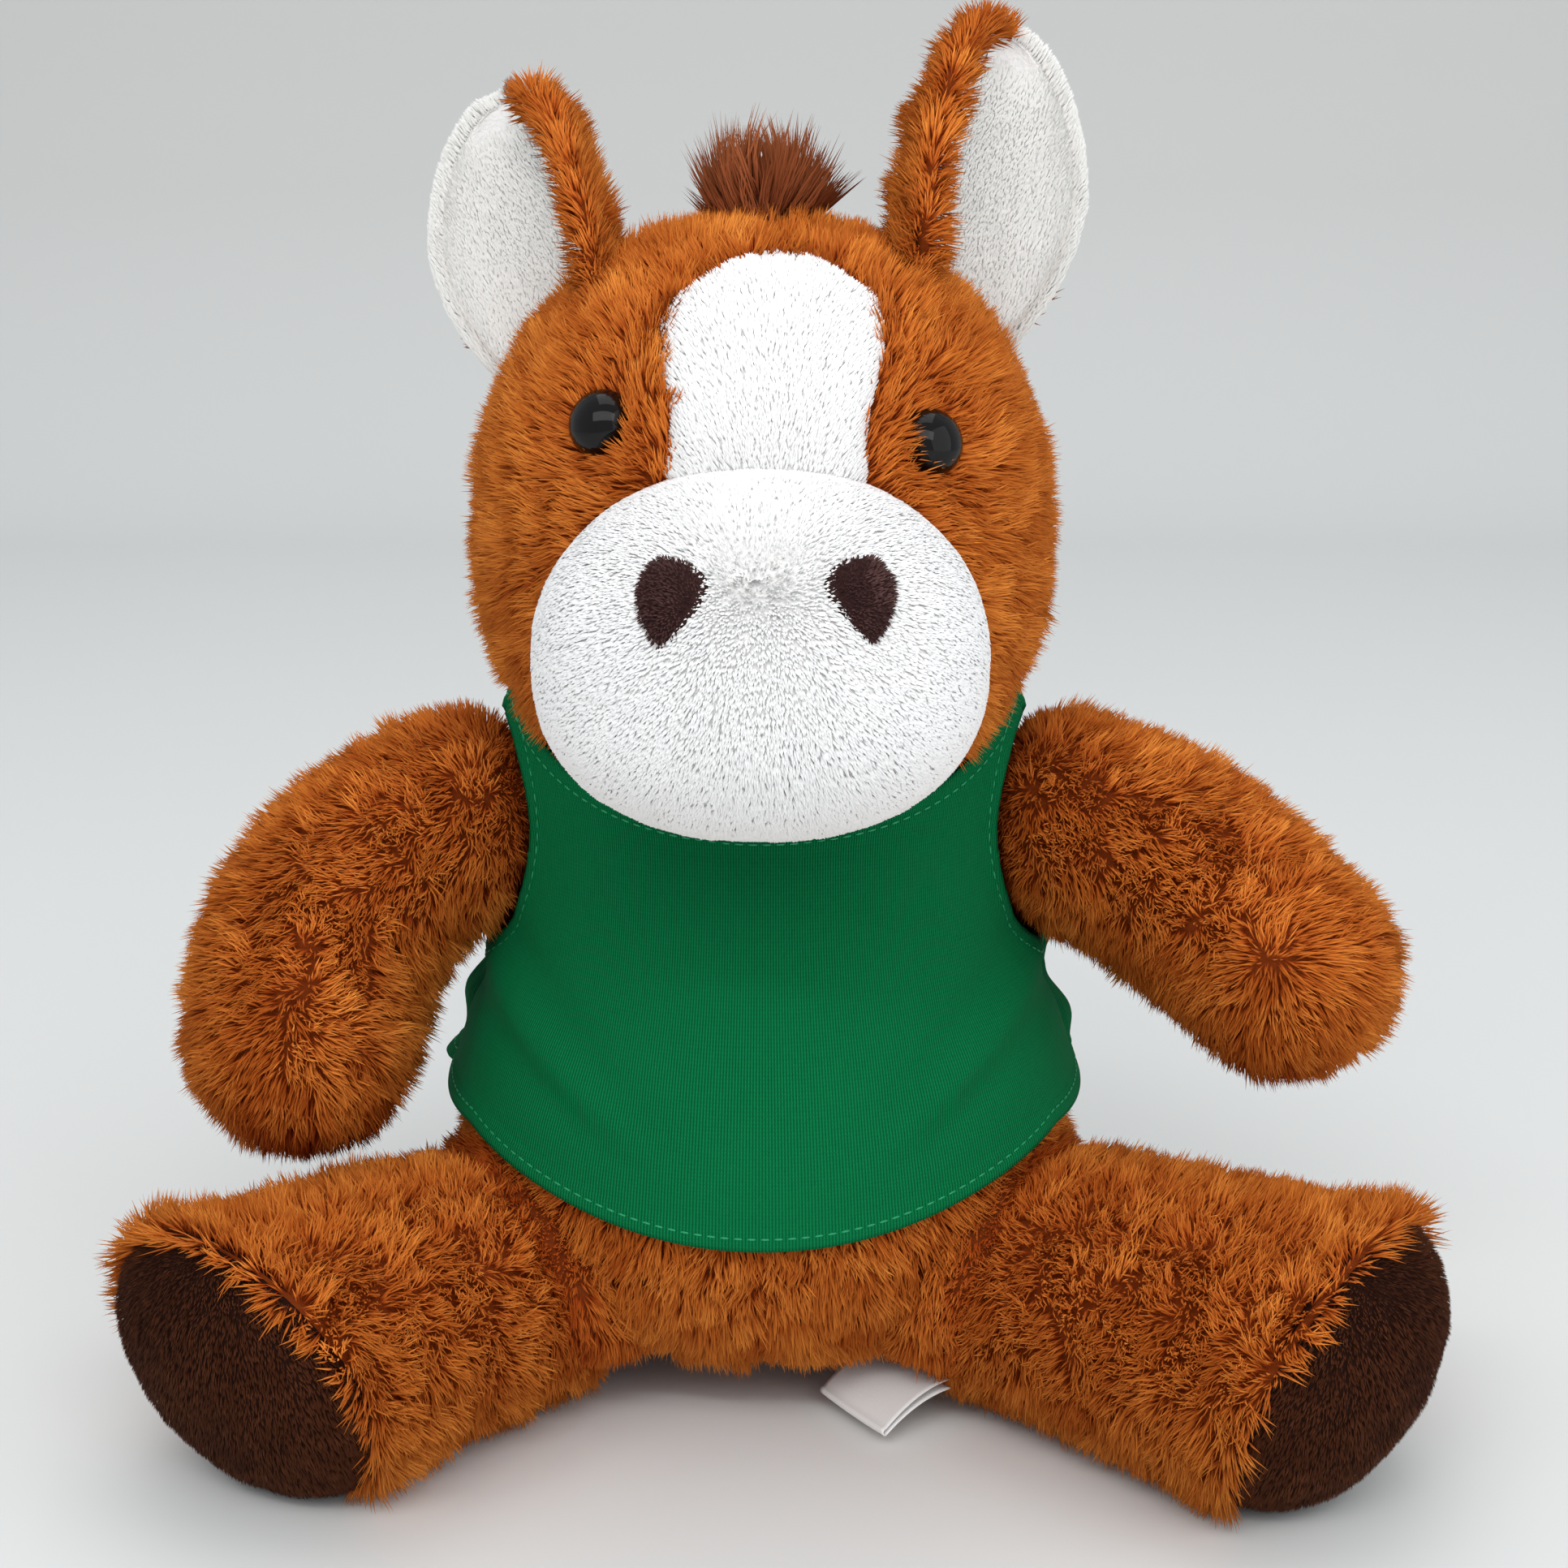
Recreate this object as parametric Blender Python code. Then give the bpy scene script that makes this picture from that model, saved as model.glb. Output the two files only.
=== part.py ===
# A sitting plush horse in a sleeveless knit shirt, sewn from pile fabric panels and stuffed.
# Metres, +Z up. The horse faces -Y, its own left is +X, and it sits on z = 0.

import math

import bmesh
import bpy
import numpy as np
from mathutils import Matrix, Vector

for old in list(bpy.data.objects):
    bpy.data.objects.remove(old)

# Fabric walls, pile included, and the clearances between pieces
SEAM_GAP = 0.0003
ARMHOLE_GAP = 0.0010
PLUSH_WALL = 0.0045
VELOUR_WALL = 0.0025
KNIT_WALL = 0.0014
SATIN_WALL = 0.0006
SEAT_FLAT_DEPTH = 0.0005
CUT_OVERRUN = 0.030

# Torso, pear shaped
TORSO_HEIGHT = 0.1365
BELLY_HALF_WIDTH = 0.056
BELLY_HALF_DEPTH = 0.056
BELLY_FORWARD = 0.007

# Head, whose lower half is a ball about the neck's turning centre
HEAD_RADIUS = 0.050
HEAD_CROWN_HEIGHT = 0.057
HEAD_CENTRE_HEIGHT = 0.151
HEAD_FORWARD = 0.015
NECK_HOLE_RADIUS = 0.022
NECK_WAD_DEPTH = 0.012

# Muzzle
MUZZLE_HALF_WIDTH = 0.0355
MUZZLE_HALF_HEIGHT = 0.0285
MUZZLE_HALF_DEPTH = 0.038
MUZZLE_FORWARD = 0.051
MUZZLE_DROP = 0.007
NOSTRIL_SPREAD = 0.0158
NOSTRIL_SHIFT = 0.0010
NOSTRIL_RISE = 0.0145
NOSTRIL_INNER_REACH = 0.0072
NOSTRIL_OUTER_REACH = 0.0030
NOSTRIL_HALF_HEIGHT = 0.0068
NOSTRIL_WALL = 0.0011

# Blaze, outlined as seen from the front
BLAZE_HALF_WIDTH = 0.0185
BLAZE_HEIGHT = 0.046
BLAZE_TOP_RISE = 0.054
BLAZE_SHIFT = 0.0003
BLAZE_LEAN = 0.0024
BLAZE_PROUD = 0.0008

# Eyes, with their shanks and lock washers
EYE_SPREAD = 0.0275
EYE_RISE = 0.0255
EYE_RADIUS = 0.0055
EYE_DOME_HEIGHT = 0.0050
EYE_SEAT_DEPTH = 0.0031
SHANK_RADIUS = 0.0016
SHANK_LENGTH = 0.0065
WASHER_RADIUS = 0.0058
WASHER_WALL = 0.0012

# Ears
EAR_LENGTH = 0.044
EAR_HALF_WIDTH = 0.0210
EAR_BACK_WALL = 0.0030
EAR_LINING_WALL = 0.0018
EAR_FOLD_DEG = 12.0
EAR_ROOT_BEND_DEG = 92.0
EAR_TIP_BEND_DEG = 52.0

# Mane and tail
MANE_HALF_WIDTH = 0.0105
MANE_BROW_DEG = 80.0
MANE_NAPE_DEG = 176.0
FORELOCK_HEIGHT = 0.0160
TAIL_ROOT_HEIGHT = 0.029
TAIL_ROOT_BACK = 0.049
TAIL_ROOT_RADIUS = 0.0065
TAIL_RADIUS = 0.0095
TAIL_DROP = 0.016
TAIL_REACH = 0.021

# Arms, of which the horse's right one hangs and its left one reaches out
SHOULDER_SPREAD = 0.0555
SHOULDER_HEIGHT = 0.100
SHOULDER_FORWARD = 0.006
ARM_ROOT_RADIUS = 0.021
ARM_RADIUS = 0.0225
ARM_REACH = 0.045
ARM_HANG = 0.036
ARM_FORWARD = 0.022

# Legs, splayed, with domed soles that face out, forward and a little down
HIP_SPREAD = 0.040
HIP_FORWARD = 0.029
LEG_ROOT_RADIUS = 0.0245
FOOT_RADIUS = 0.0265
CUFF_RADIUS = 0.0340
CUFF_LIP = 0.0030
LEG_LENGTH = 0.058
SOLE_DOME_HEIGHT = 0.0165
SOLE_DOWN_DEG = 23.0
LEG_LIFT_DEG = 5.0
LEG_DANGLE_DEG = 35.0
ROOT_HOLE_RADIUS = 0.009

# Shirt
SHIRT_HEM_HEIGHT = 0.042
SHIRT_HEM_RISE = 0.0108
SHIRT_HEM_SPREAD = 0.050
SHIRT_HEM_FLARE = 0.0030
SHIRT_FLARE_HEIGHT = 0.035
SHIRT_FOLD_HEIGHT = 0.0010
SIDE_SEAM_BACK = 0.002

# Pellet bag and care label
PELLET_HALF_WIDTH = 0.0270
PELLET_BACK = 0.009
PELLET_HALF_HEIGHT = 0.0085
LABEL_WIDTH = 0.0190
LABEL_LENGTH = 0.0140
LABEL_SPREAD = 0.0160
LABEL_REACH = 0.0465
LABEL_HEIGHT = 0.0032
LABEL_RISE = 0.0055
LABEL_TURN_DEG = 34.0

# How square the muzzle, the crown and the pellet bag are: 2 is an ellipse
muzzle_power = 2.25
crown_power = 2.3
bag_power = 2.4
# How much narrower the muzzle is at its back than at its middle
muzzle_taper_share = 0.09
# Shares of the torso's height, half width, half depth and forward shift
torso_shares = (
    (0.000, 0.50, 0.42, -0.50),
    (0.035, 0.76, 0.67, -0.10),
    (0.110, 0.90, 0.85, 0.50),
    (0.210, 0.97, 0.96, 0.90),
    (0.340, 1.00, 1.00, 1.00),
    (0.480, 0.93, 0.94, 0.86),
    (0.620, 0.82, 0.83, 0.57),
    (0.740, 0.79, 0.76, 0.29),
    (0.850, 0.82, 0.66, 0.00),
    (0.925, 0.76, 0.54, -0.20),
    (0.975, 0.55, 0.38, -0.30),
)
# Shares of the reach, forward reach and hang from the shoulder, with the radius share
right_arm_shares = (
    (0.00, 0.00, 0.00, 0.93),
    (0.26, 0.25, 0.17, 0.96),
    (0.50, 0.58, 0.52, 1.00),
    (0.58, 0.98, 0.92, 0.95),
)
left_arm_shares = (
    (0.00, 0.00, 0.00, 0.93),
    (0.39, 0.36, 0.19, 0.95),
    (0.81, 0.88, 0.59, 0.91),
)
# Shares of the blaze's half width and height, from its tip down
blaze_shares = (
    (0.00, 1.00),
    (0.37, 0.965),
    (0.64, 0.91),
    (0.88, 0.85),
    (0.98, 0.78),
    (1.00, 0.70),
    (0.97, 0.60),
    (0.87, 0.46),
    (0.86, 0.34),
    (0.89, 0.18),
    (0.89, 0.00),
)
# How fast a nostril narrows to its points, and how much wider it is above its middle than below
nostril_round_share = 0.72
nostril_high_share = 0.30
# The pile's lip round a sole: shares of its height and of the cuff's radius
lip_shares = ((0.55, 0.98), (1.0, 0.91))
# A root's opening is cut by its radius only where the tube's radius is at least this many times as wide
mouth_share = 1.2
# The part of a leg that the torso and the shirt make way for, from the hip
leg_space_share = 0.6
# The straight part of an eye's rim, of its height
eye_rim_share = 0.18
# An ear's half width at its root, what the sine adds a third of the way up, and where the tip closes
ear_width_shares = (0.80, 0.34, 1.05)
# How much taller the mane is in the middle of each tuft
tuft_share = 0.10
# Shares of the forelock's height along the mane, from the brow to the nape
mane_shares = (0.80, 1.00, 0.78, 0.56, 0.50, 0.46, 0.40)
# Shares of the tail's reach, drop and radius
tail_shares = ((0.00, 0.00, 0.68), (0.62, 0.02, 0.88), (1.00, 0.55, 1.00), (0.92, 1.00, 0.62))
# Each ear's root as shares of the head's radius, twice, and its crown's height; its lean; the way its
# lining faces; its length share
ear_shares = {
    "right": ((-0.59, 0.14, 0.675), (-0.36, 0.22, 0.90), (-0.66, -0.74, 0.12), 0.92),
    "left": ((0.57, 0.14, 0.790), (0.26, 0.10, 0.96), (0.66, -0.75, 0.06), 1.04),
}
# How far each leg and each sole turns out from straight ahead, with the leg's length and dome shares
leg_turns = {"right": (49.0, 38.0, 1.00, 1.00), "left": (53.0, 56.0, 1.10, 1.20)}
# How far each eye stands to the side and above the head's centre, as shares
eye_shares = {"right": (0.95, 1.04), "left": (1.03, 0.95)}

head_centre = Vector((0.0, -HEAD_FORWARD, HEAD_CENTRE_HEIGHT))
muzzle_centre = head_centre + Vector((0.0, -MUZZLE_FORWARD, -MUZZLE_DROP))
sides_of_body = {"right": -1, "left": 1}
up = Vector((0.0, 0.0, 1.0))
front = Vector((0.0, -1.0, 0.0))


def new_material(name, colour, roughness):
    made = bpy.data.materials.new(name)
    made.use_nodes = True
    shader = made.node_tree.nodes["Principled BSDF"]
    shader.inputs["Base Color"].default_value = (*colour, 1.0)
    shader.inputs["Roughness"].default_value = roughness
    shader.inputs["Metallic"].default_value = 0.0
    made.diffuse_color = (*colour, 1.0)
    return made


def smooth_rows(table, count):
    """The rows of a table joined by a Catmull-Rom curve and read at even steps."""
    rows = np.array(table, float)
    rows = rows.reshape(len(rows), -1)
    padded = np.concatenate([2 * rows[:1] - rows[1:2], rows, 2 * rows[-1:] - rows[-2:-1]])
    at = np.linspace(0, len(rows) - 1, count)
    first = np.minimum(at.astype(int), len(rows) - 2)
    t = (at - first)[:, None]
    a, b, c, d = (padded[first + step] for step in range(4))
    square, cube = 2 * a - 5 * b + 4 * c - d, 3 * b - a - 3 * c + d
    return 0.5 * (2 * b + (c - a) * t + square * t**2 + cube * t**3)


def new_object(name, mesh, origin=(0.0, 0.0, 0.0)):
    """An object whose origin is moved to a joint, with its shape left where it was."""
    mesh.transform(Matrix.Translation(-Vector(origin)))
    made = bpy.data.objects.new(name, mesh)
    made.location = origin
    bpy.context.scene.collection.objects.link(made)
    return made


def mesh_of(name, points, faces):
    """A closed mesh with its faces turned outwards."""
    shape = bmesh.new()
    verts = [shape.verts.new(p) for p in points]
    for face in faces:
        shape.faces.new([verts[i] for i in face])
    bmesh.ops.recalc_face_normals(shape, faces=shape.faces)
    mesh = bpy.data.meshes.new(name)
    shape.to_mesh(mesh)
    shape.free()
    return mesh


def grown(first_pole, rings, last_pole, grow=0.0):
    """Rings and poles moved outwards along their normals."""
    count, sides = rings.shape[:2]
    rows = np.concatenate(
        [np.tile(first_pole, (1, sides, 1)), rings, np.tile(last_pole, (1, sides, 1))]
    )
    along = rows[2:] - rows[:-2]
    around = np.roll(rings, -1, 1) - np.roll(rings, 1, 1)
    normal = np.cross(around, along)
    normal /= np.linalg.norm(normal, axis=2, keepdims=True)
    outward = rings - rings.mean(1, keepdims=True)
    if (normal * outward).sum() < 0:
        normal = -normal
    grow = np.broadcast_to(grow, count)
    ends = []
    for pole, ring, next_ring, far in (
        (first_pole, rings[0], rings[1], grow[0]),
        (last_pole, rings[-1], rings[-2], grow[-1]),
    ):
        axis = ring.mean(0) - next_ring.mean(0)
        ends.append(np.array(pole) + axis / np.linalg.norm(axis) * far)
    return ends[0], rings + normal * grow[:, None, None], ends[1]


def bands(low, high, sides, from_tip):
    """Triangles between two rings, folded alike whether the rings run from the root or from the tip."""
    made = []
    for j in range(sides):
        after = (j + 1) % sides
        if from_tip:
            made += [(low + j, low + after, high + j), (low + after, high + after, high + j)]
        else:
            made += [(low + j, low + after, high + after), (low + j, high + after, high + j)]
    return made


def skin(name, first_pole, rings, last_pole, grow=0.0, from_tip=()):
    """Rings of points bridged and closed at two poles."""
    first_pole, rings, last_pole = grown(first_pole, rings, last_pole, grow)
    count, sides = rings.shape[:2]
    points = [first_pole, *rings.reshape(-1, 3), last_pole]
    faces = [(0, 1 + (j + 1) % sides, 1 + j) for j in range(sides)]
    for i in range(count - 1):
        faces += bands(1 + i * sides, 1 + (i + 1) * sides, sides, i in from_tip)
    top, last = 1 + count * sides, 1 + (count - 1) * sides
    faces += [(top, last + j, last + (j + 1) % sides) for j in range(sides)]
    return mesh_of(name, points, faces)


def sleeve(name, rings, from_tip):
    """Rings bridged one after another and the last one back to the first."""
    count, sides = rings.shape[:2]
    faces = []
    for i in range(count):
        faces += bands(i * sides, (i + 1) % count * sides, sides, i in from_tip)
    return mesh_of(name, rings.reshape(-1, 3), faces)


def guide(name, mesh, origin=(0.0, 0.0, 0.0)):
    made = new_object(name, mesh, origin)
    made.hide_render = True
    made.display_type = "WIRE"
    return made


def cut(target, *tools, operation="DIFFERENCE"):
    for tool in tools:
        step = target.modifiers.new(tool.name, "BOOLEAN")
        step.operation = operation
        step.solver = "EXACT"
        step.object = tool
    return target


def node(name, mesh, material, origin=(0.0, 0.0, 0.0)):
    made = new_object(name, mesh, origin)
    made.data.materials.append(material)
    made.data.shade_smooth()
    return made


def turned(tool, pivot, axis, degrees):
    """A copy of a cutter, turned about an axis through a joint."""
    made = tool.copy()
    place = Matrix.Translation(pivot)
    turn = Matrix.Rotation(math.radians(degrees), 4, axis)
    made.matrix_world = place @ turn @ place.inverted() @ Matrix.Translation(tool.location)
    bpy.context.scene.collection.objects.link(made)
    return made


def ball_mesh(name, centre, halves, rings, sides, grow=0.0, axis="Z", power=2.0, taper_share=0.0):
    """A rounded form whose section is a superellipse, with poles on one axis."""
    polar = np.linspace(0, math.pi, rings + 2)[1:-1, None]
    turn = np.linspace(0, 2 * math.pi, sides, endpoint=False)[None]

    def bent(value):
        return np.sign(value) * np.abs(value) ** (2 / power)

    wide = bent(np.sin(polar))
    unit = np.stack(
        [wide * bent(np.cos(turn)), wide * bent(np.sin(turn)), -bent(np.cos(polar)) + 0 * turn], 2
    )
    if axis == "Y":
        unit = unit[..., [0, 2, 1]]
    unit[..., 0] *= 1 - taper_share * unit[..., 2]
    reach = np.array(halves) + grow
    pole = np.array((0.0, 0.0, 1.0)) if axis == "Z" else np.array((0.0, 1.0, 0.0))
    centre = np.array(centre)
    return skin(name, centre - pole * reach, centre + unit * reach, centre + pole * reach)


def head_mesh(name, rings, sides, grow=0.0):
    """A ball below its widest level and a taller, slightly squarer crown above it."""
    polar = np.linspace(0, math.pi, rings + 2)[1:-1, None]
    turn = np.linspace(0, 2 * math.pi, sides, endpoint=False)[None]
    upper = np.cos(polar) < 0
    power = np.where(upper, crown_power, 2.0)
    tall = np.where(upper, HEAD_CROWN_HEIGHT, HEAD_RADIUS) + grow
    wide = (HEAD_RADIUS + grow) * np.sin(polar) ** (2 / power)
    rise = -np.sign(np.cos(polar)) * np.abs(np.cos(polar)) ** (2 / power) * tall
    ring = np.stack([wide * np.cos(turn), wide * np.sin(turn), rise + 0 * turn], 2)
    centre = np.array(head_centre)
    low = centre - np.array((0, 0, HEAD_RADIUS + grow))
    high = centre + np.array((0, 0, HEAD_CROWN_HEIGHT + grow))
    return skin(name, low, centre + ring, high)


def muzzle_mesh(name, rings, sides, grow=0.0):
    halves = (MUZZLE_HALF_WIDTH, MUZZLE_HALF_DEPTH, MUZZLE_HALF_HEIGHT)
    return ball_mesh(
        name,
        muzzle_centre,
        halves,
        rings,
        sides,
        grow,
        axis="Y",
        power=muzzle_power,
        taper_share=muzzle_taper_share,
    )


def torso_rings(rings, sides):
    row = smooth_rows(torso_shares, rings)
    turn = np.linspace(0, 2 * math.pi, sides, endpoint=False)[None]
    x = row[:, 1:2] * BELLY_HALF_WIDTH * np.cos(turn)
    y = row[:, 2:3] * BELLY_HALF_DEPTH * np.sin(turn) - row[:, 3:4] * BELLY_FORWARD
    z = row[:, :1] * TORSO_HEIGHT - SEAT_FLAT_DEPTH + 0 * turn
    return np.stack([x, y, z], 2)


def torso_mesh(name, rings, sides, grow=0.0):
    ring = torso_rings(rings, sides)
    low = ring[0].mean(0)
    high = np.array((0.0, ring[-1].mean(0)[1], TORSO_HEIGHT - SEAT_FLAT_DEPTH))
    return skin(name, low, ring, high, grow)


def shirt_mesh(name, rings, sides, grow):
    """The torso's form, eased out towards the hem, where the cloth stands in soft folds."""
    ring = torso_rings(rings, sides)
    fall = np.clip((SHIRT_HEM_HEIGHT + SHIRT_FLARE_HEIGHT - ring[..., 2]) / SHIRT_FLARE_HEIGHT, 0, 1)
    turn = np.linspace(0, 2 * math.pi, sides, endpoint=False)[None]
    folds = 6
    side = np.cos(turn) ** 2
    ease = fall**2 * (SHIRT_HEM_FLARE * side + SHIRT_FOLD_HEIGHT * np.cos(folds * turn) * side)
    middle = ring.mean(1, keepdims=True)
    out = ring - middle
    ring = ring + out / np.linalg.norm(out, axis=2, keepdims=True) * ease[..., None]
    high = np.array((0.0, ring[-1].mean(0)[1], TORSO_HEIGHT - SEAT_FLAT_DEPTH))
    return skin(name, ring[0].mean(0), ring, high, grow)


def frame_across(tangent, reference):
    side = np.cross(tangent, reference)
    side /= np.linalg.norm(side)
    return side, np.cross(side, tangent)


def ring_of(place, normal, wide, sides, reference):
    turn = np.linspace(0, 2 * math.pi, sides, endpoint=False)[:, None]
    across, over = frame_across(np.array(normal), np.array(reference))
    return np.array(place) + wide * (np.cos(turn) * across + np.sin(turn) * over)


def limb_rings(table, reference, steps, sides):
    """A stuffed tube along centre places with radii, closed by a ball at each end."""
    row = smooth_rows(table, steps)
    centre, radius = row[:, :3], row[:, 3]
    tangent = np.gradient(centre, axis=0)
    tangent /= np.linalg.norm(tangent, axis=1, keepdims=True)
    mouth = math.pi / 8
    if radius[0] > mouth_share * ROOT_HOLE_RADIUS:
        mouth = math.asin(ROOT_HOLE_RADIUS / radius[0])
    rings = []
    for angle in np.linspace(mouth, math.pi / 2, 4)[:-1]:
        place = centre[0] - tangent[0] * radius[0] * math.cos(angle)
        rings.append(ring_of(place, tangent[0], radius[0] * math.sin(angle), sides, reference))
    for place, along, wide in zip(centre, tangent, radius):
        rings.append(ring_of(place, along, wide, sides, reference))
    for angle in np.linspace(math.pi / 2, 0, 5)[1:-1]:
        place = centre[-1] + tangent[-1] * radius[-1] * math.cos(angle)
        rings.append(ring_of(place, tangent[-1], radius[-1] * math.sin(angle), sides, reference))
    first = centre[0] - tangent[0] * radius[0]
    last = centre[-1] + tangent[-1] * radius[-1]
    return first, np.array(rings), last


def pocket(name, outer, inner):
    """A skin whose inside opens at the root, from the inner tip round to the outer one."""
    rings = np.concatenate([inner[1][::-1], outer[1]])
    return skin(name, inner[2], rings, outer[2], from_tip=range(len(inner[1])))


def leg_axes(side):
    """A leg's hip, its direction, its sole's centre, the way the sole faces and its dome's height."""
    sign = sides_of_body[side]
    leg_out, sole_out, length_share, dome_share = leg_turns[side]
    out = math.radians(leg_out)
    hip = Vector((sign * HIP_SPREAD, -HIP_FORWARD, LEG_ROOT_RADIUS - SEAT_FLAT_DEPTH))
    along = Vector((sign * math.sin(out), -math.cos(out), 0.0))
    down = math.radians(SOLE_DOWN_DEG)
    turn = math.radians(sole_out)
    level = Vector((sign * math.sin(turn), -math.cos(turn), 0.0))
    facing = level * math.cos(down) - up * math.sin(down)
    dome = dome_share * SOLE_DOME_HEIGHT
    rest = math.hypot(FOOT_RADIUS * math.cos(down), dome * math.sin(down))
    sole = hip + along * LEG_LENGTH * length_share
    sole.z = rest - SEAT_FLAT_DEPTH
    return hip, along, sole, facing, dome


def leg_rings(side, sides, end_radius):
    """A ball at the hip and a thick tube that turns to the sole's facing, up to the sole's seam."""
    hip, along, sole, facing, _ = leg_axes(side)
    mouth = math.asin(ROOT_HOLE_RADIUS / LEG_ROOT_RADIUS)
    tube_steps = 5
    rings = []
    for angle in np.linspace(mouth, math.pi / 2, 4)[:-1]:
        place = hip - along * LEG_ROOT_RADIUS * math.cos(angle)
        rings.append(ring_of(place, along, LEG_ROOT_RADIUS * math.sin(angle), sides, up))
    for t in np.linspace(0, 1, tube_steps + 1):
        eased = t * t * (3 - 2 * t)
        wide = LEG_ROOT_RADIUS + (end_radius - LEG_ROOT_RADIUS) * t**3
        rings.append(ring_of(hip.lerp(sole, t), along.lerp(facing, eased).normalized(), wide, sides, up))
    return hip - along * LEG_ROOT_RADIUS, rings


def dome_rings(side, sides, start=0.0, grow=0.0):
    """The sole's dome, from its seam to the last ring before its top, and the top."""
    _, _, sole, facing, dome = leg_axes(side)
    rings = []
    for angle in np.linspace(start, math.pi / 2, 5)[:-1]:
        place = sole + facing * (dome + grow) * math.sin(angle)
        rings.append(ring_of(place, facing, (FOOT_RADIUS + grow) * math.cos(angle), sides, up))
    return rings, np.array(sole + facing * (dome + grow))


def slab_mesh(name, centre, halves, facing=up):
    """A box whose own Z axis faces a given way."""
    shape = bmesh.new()
    bmesh.ops.create_cube(shape, size=2.0)
    turn = Vector(facing).to_track_quat("Z", "Y").to_matrix().to_4x4()
    place = Matrix.Translation(centre) @ turn @ Matrix.Diagonal((*halves, 1.0))
    bmesh.ops.transform(shape, matrix=place, verts=shape.verts)
    mesh = bpy.data.meshes.new(name)
    shape.to_mesh(mesh)
    shape.free()
    return mesh


def rod_mesh(name, start, end, radius, sides=16, end_radius=None):
    along = Vector(end) - Vector(start)
    shape = bmesh.new()
    bmesh.ops.create_cone(
        shape,
        cap_ends=True,
        segments=sides,
        radius1=radius,
        radius2=radius if end_radius is None else end_radius,
        depth=along.length,
    )
    turn = along.to_track_quat("Z", "Y").to_matrix().to_4x4()
    place = Matrix.Translation((Vector(start) + Vector(end)) / 2) @ turn
    bmesh.ops.transform(shape, matrix=place, verts=shape.verts)
    mesh = bpy.data.meshes.new(name)
    shape.to_mesh(mesh)
    shape.free()
    return mesh


def column_mesh(name, start, end):
    """Two like outlines joined into a solid."""
    count = len(start)
    faces = [tuple(range(count)), tuple(range(2 * count - 1, count - 1, -1))]
    faces += [(i, (i + 1) % count, count + (i + 1) % count, count + i) for i in range(count)]
    return mesh_of(name, [*start, *end], faces)


def prism_mesh(name, outline, start_y, end_y):
    """An outline in X and Z carried along Y."""
    return column_mesh(name, [(x, start_y, z) for x, z in outline], [(x, end_y, z) for x, z in outline])


def plate_mesh(name, near, far):
    """Two like grids of points joined round their edges into a closed plate."""
    rows, columns = near.shape[:2]
    points = [*near.reshape(-1, 3), *far.reshape(-1, 3)]
    back = rows * columns
    faces = []
    for i in range(rows - 1):
        for j in range(columns - 1):
            a, b = i * columns + j, (i + 1) * columns + j
            faces.append((a, a + 1, b + 1, b))
            faces.append((back + a, back + b, back + b + 1, back + a + 1))
    rim = [j for j in range(columns)]
    rim += [i * columns + columns - 1 for i in range(1, rows)]
    rim += [(rows - 1) * columns + j for j in range(columns - 2, -1, -1)]
    rim += [i * columns for i in range(rows - 2, 0, -1)]
    for a, b in zip(rim, rim[1:] + rim[:1]):
        faces.append((a, back + a, back + b, b))
    return mesh_of(name, points, faces)


# Materials
brown_plush = new_material("brown_plush", (0.42, 0.14, 0.035), 0.95)
dark_plush = new_material("dark_plush", (0.17, 0.055, 0.025), 0.95)
white_velour = new_material("white_velour", (0.86, 0.85, 0.83), 0.9)
hoof_velour = new_material("hoof_velour", (0.055, 0.018, 0.010), 0.9)
nostril_velour = new_material("nostril_velour", (0.060, 0.026, 0.024), 0.9)
green_knit = new_material("green_knit", (0.003, 0.170, 0.045), 0.85)
satin = new_material("satin", (0.85, 0.84, 0.82), 0.4)
eye_gloss = new_material("eye_gloss", (0.004, 0.004, 0.004), 0.05)
washer_plastic = new_material("washer_plastic", (0.75, 0.75, 0.72), 0.5)
fill_fibre = new_material("fill_fibre", (0.82, 0.82, 0.80), 1.0)
pellet_cloth = new_material("pellet_cloth", (0.70, 0.69, 0.66), 0.9)

# Facets as rings and sides: outer skins, inner skins, and the seats of turning pieces
head_facets = (13, 24)
head_inner_facets = (9, 16)
muzzle_facets = (11, 20)
muzzle_inner_facets = (7, 14)
torso_facets = (12, 24)
torso_inner_facets = (9, 14)
seat_facets = (6, 14)
rod_sides = 14
neck_sides = 24
bag_facets = (7, 20)
eye_sides = 20
shank_sides = 12
rod_ease = 1 / math.cos(math.pi / rod_sides)
head_seat_facets = (11, 22)


def seat_ease(facets):
    """How much larger a faceted ball must be to clear a round one inside it."""
    rings, sides = facets
    return 1 / (math.cos(math.pi / sides) * math.cos(math.pi / 2 / (rings + 1)))


def ball_seat(name, centre, radius, gap=SEAM_GAP):
    reach = (radius + gap) * seat_ease(seat_facets)
    return guide(name, ball_mesh(name, centre, [reach] * 3, *seat_facets))


def head_space(name, gap):
    ease = (HEAD_RADIUS + gap) * seat_ease(head_seat_facets) - HEAD_RADIUS
    return guide(name, head_mesh(name, *head_seat_facets, ease))


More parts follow.
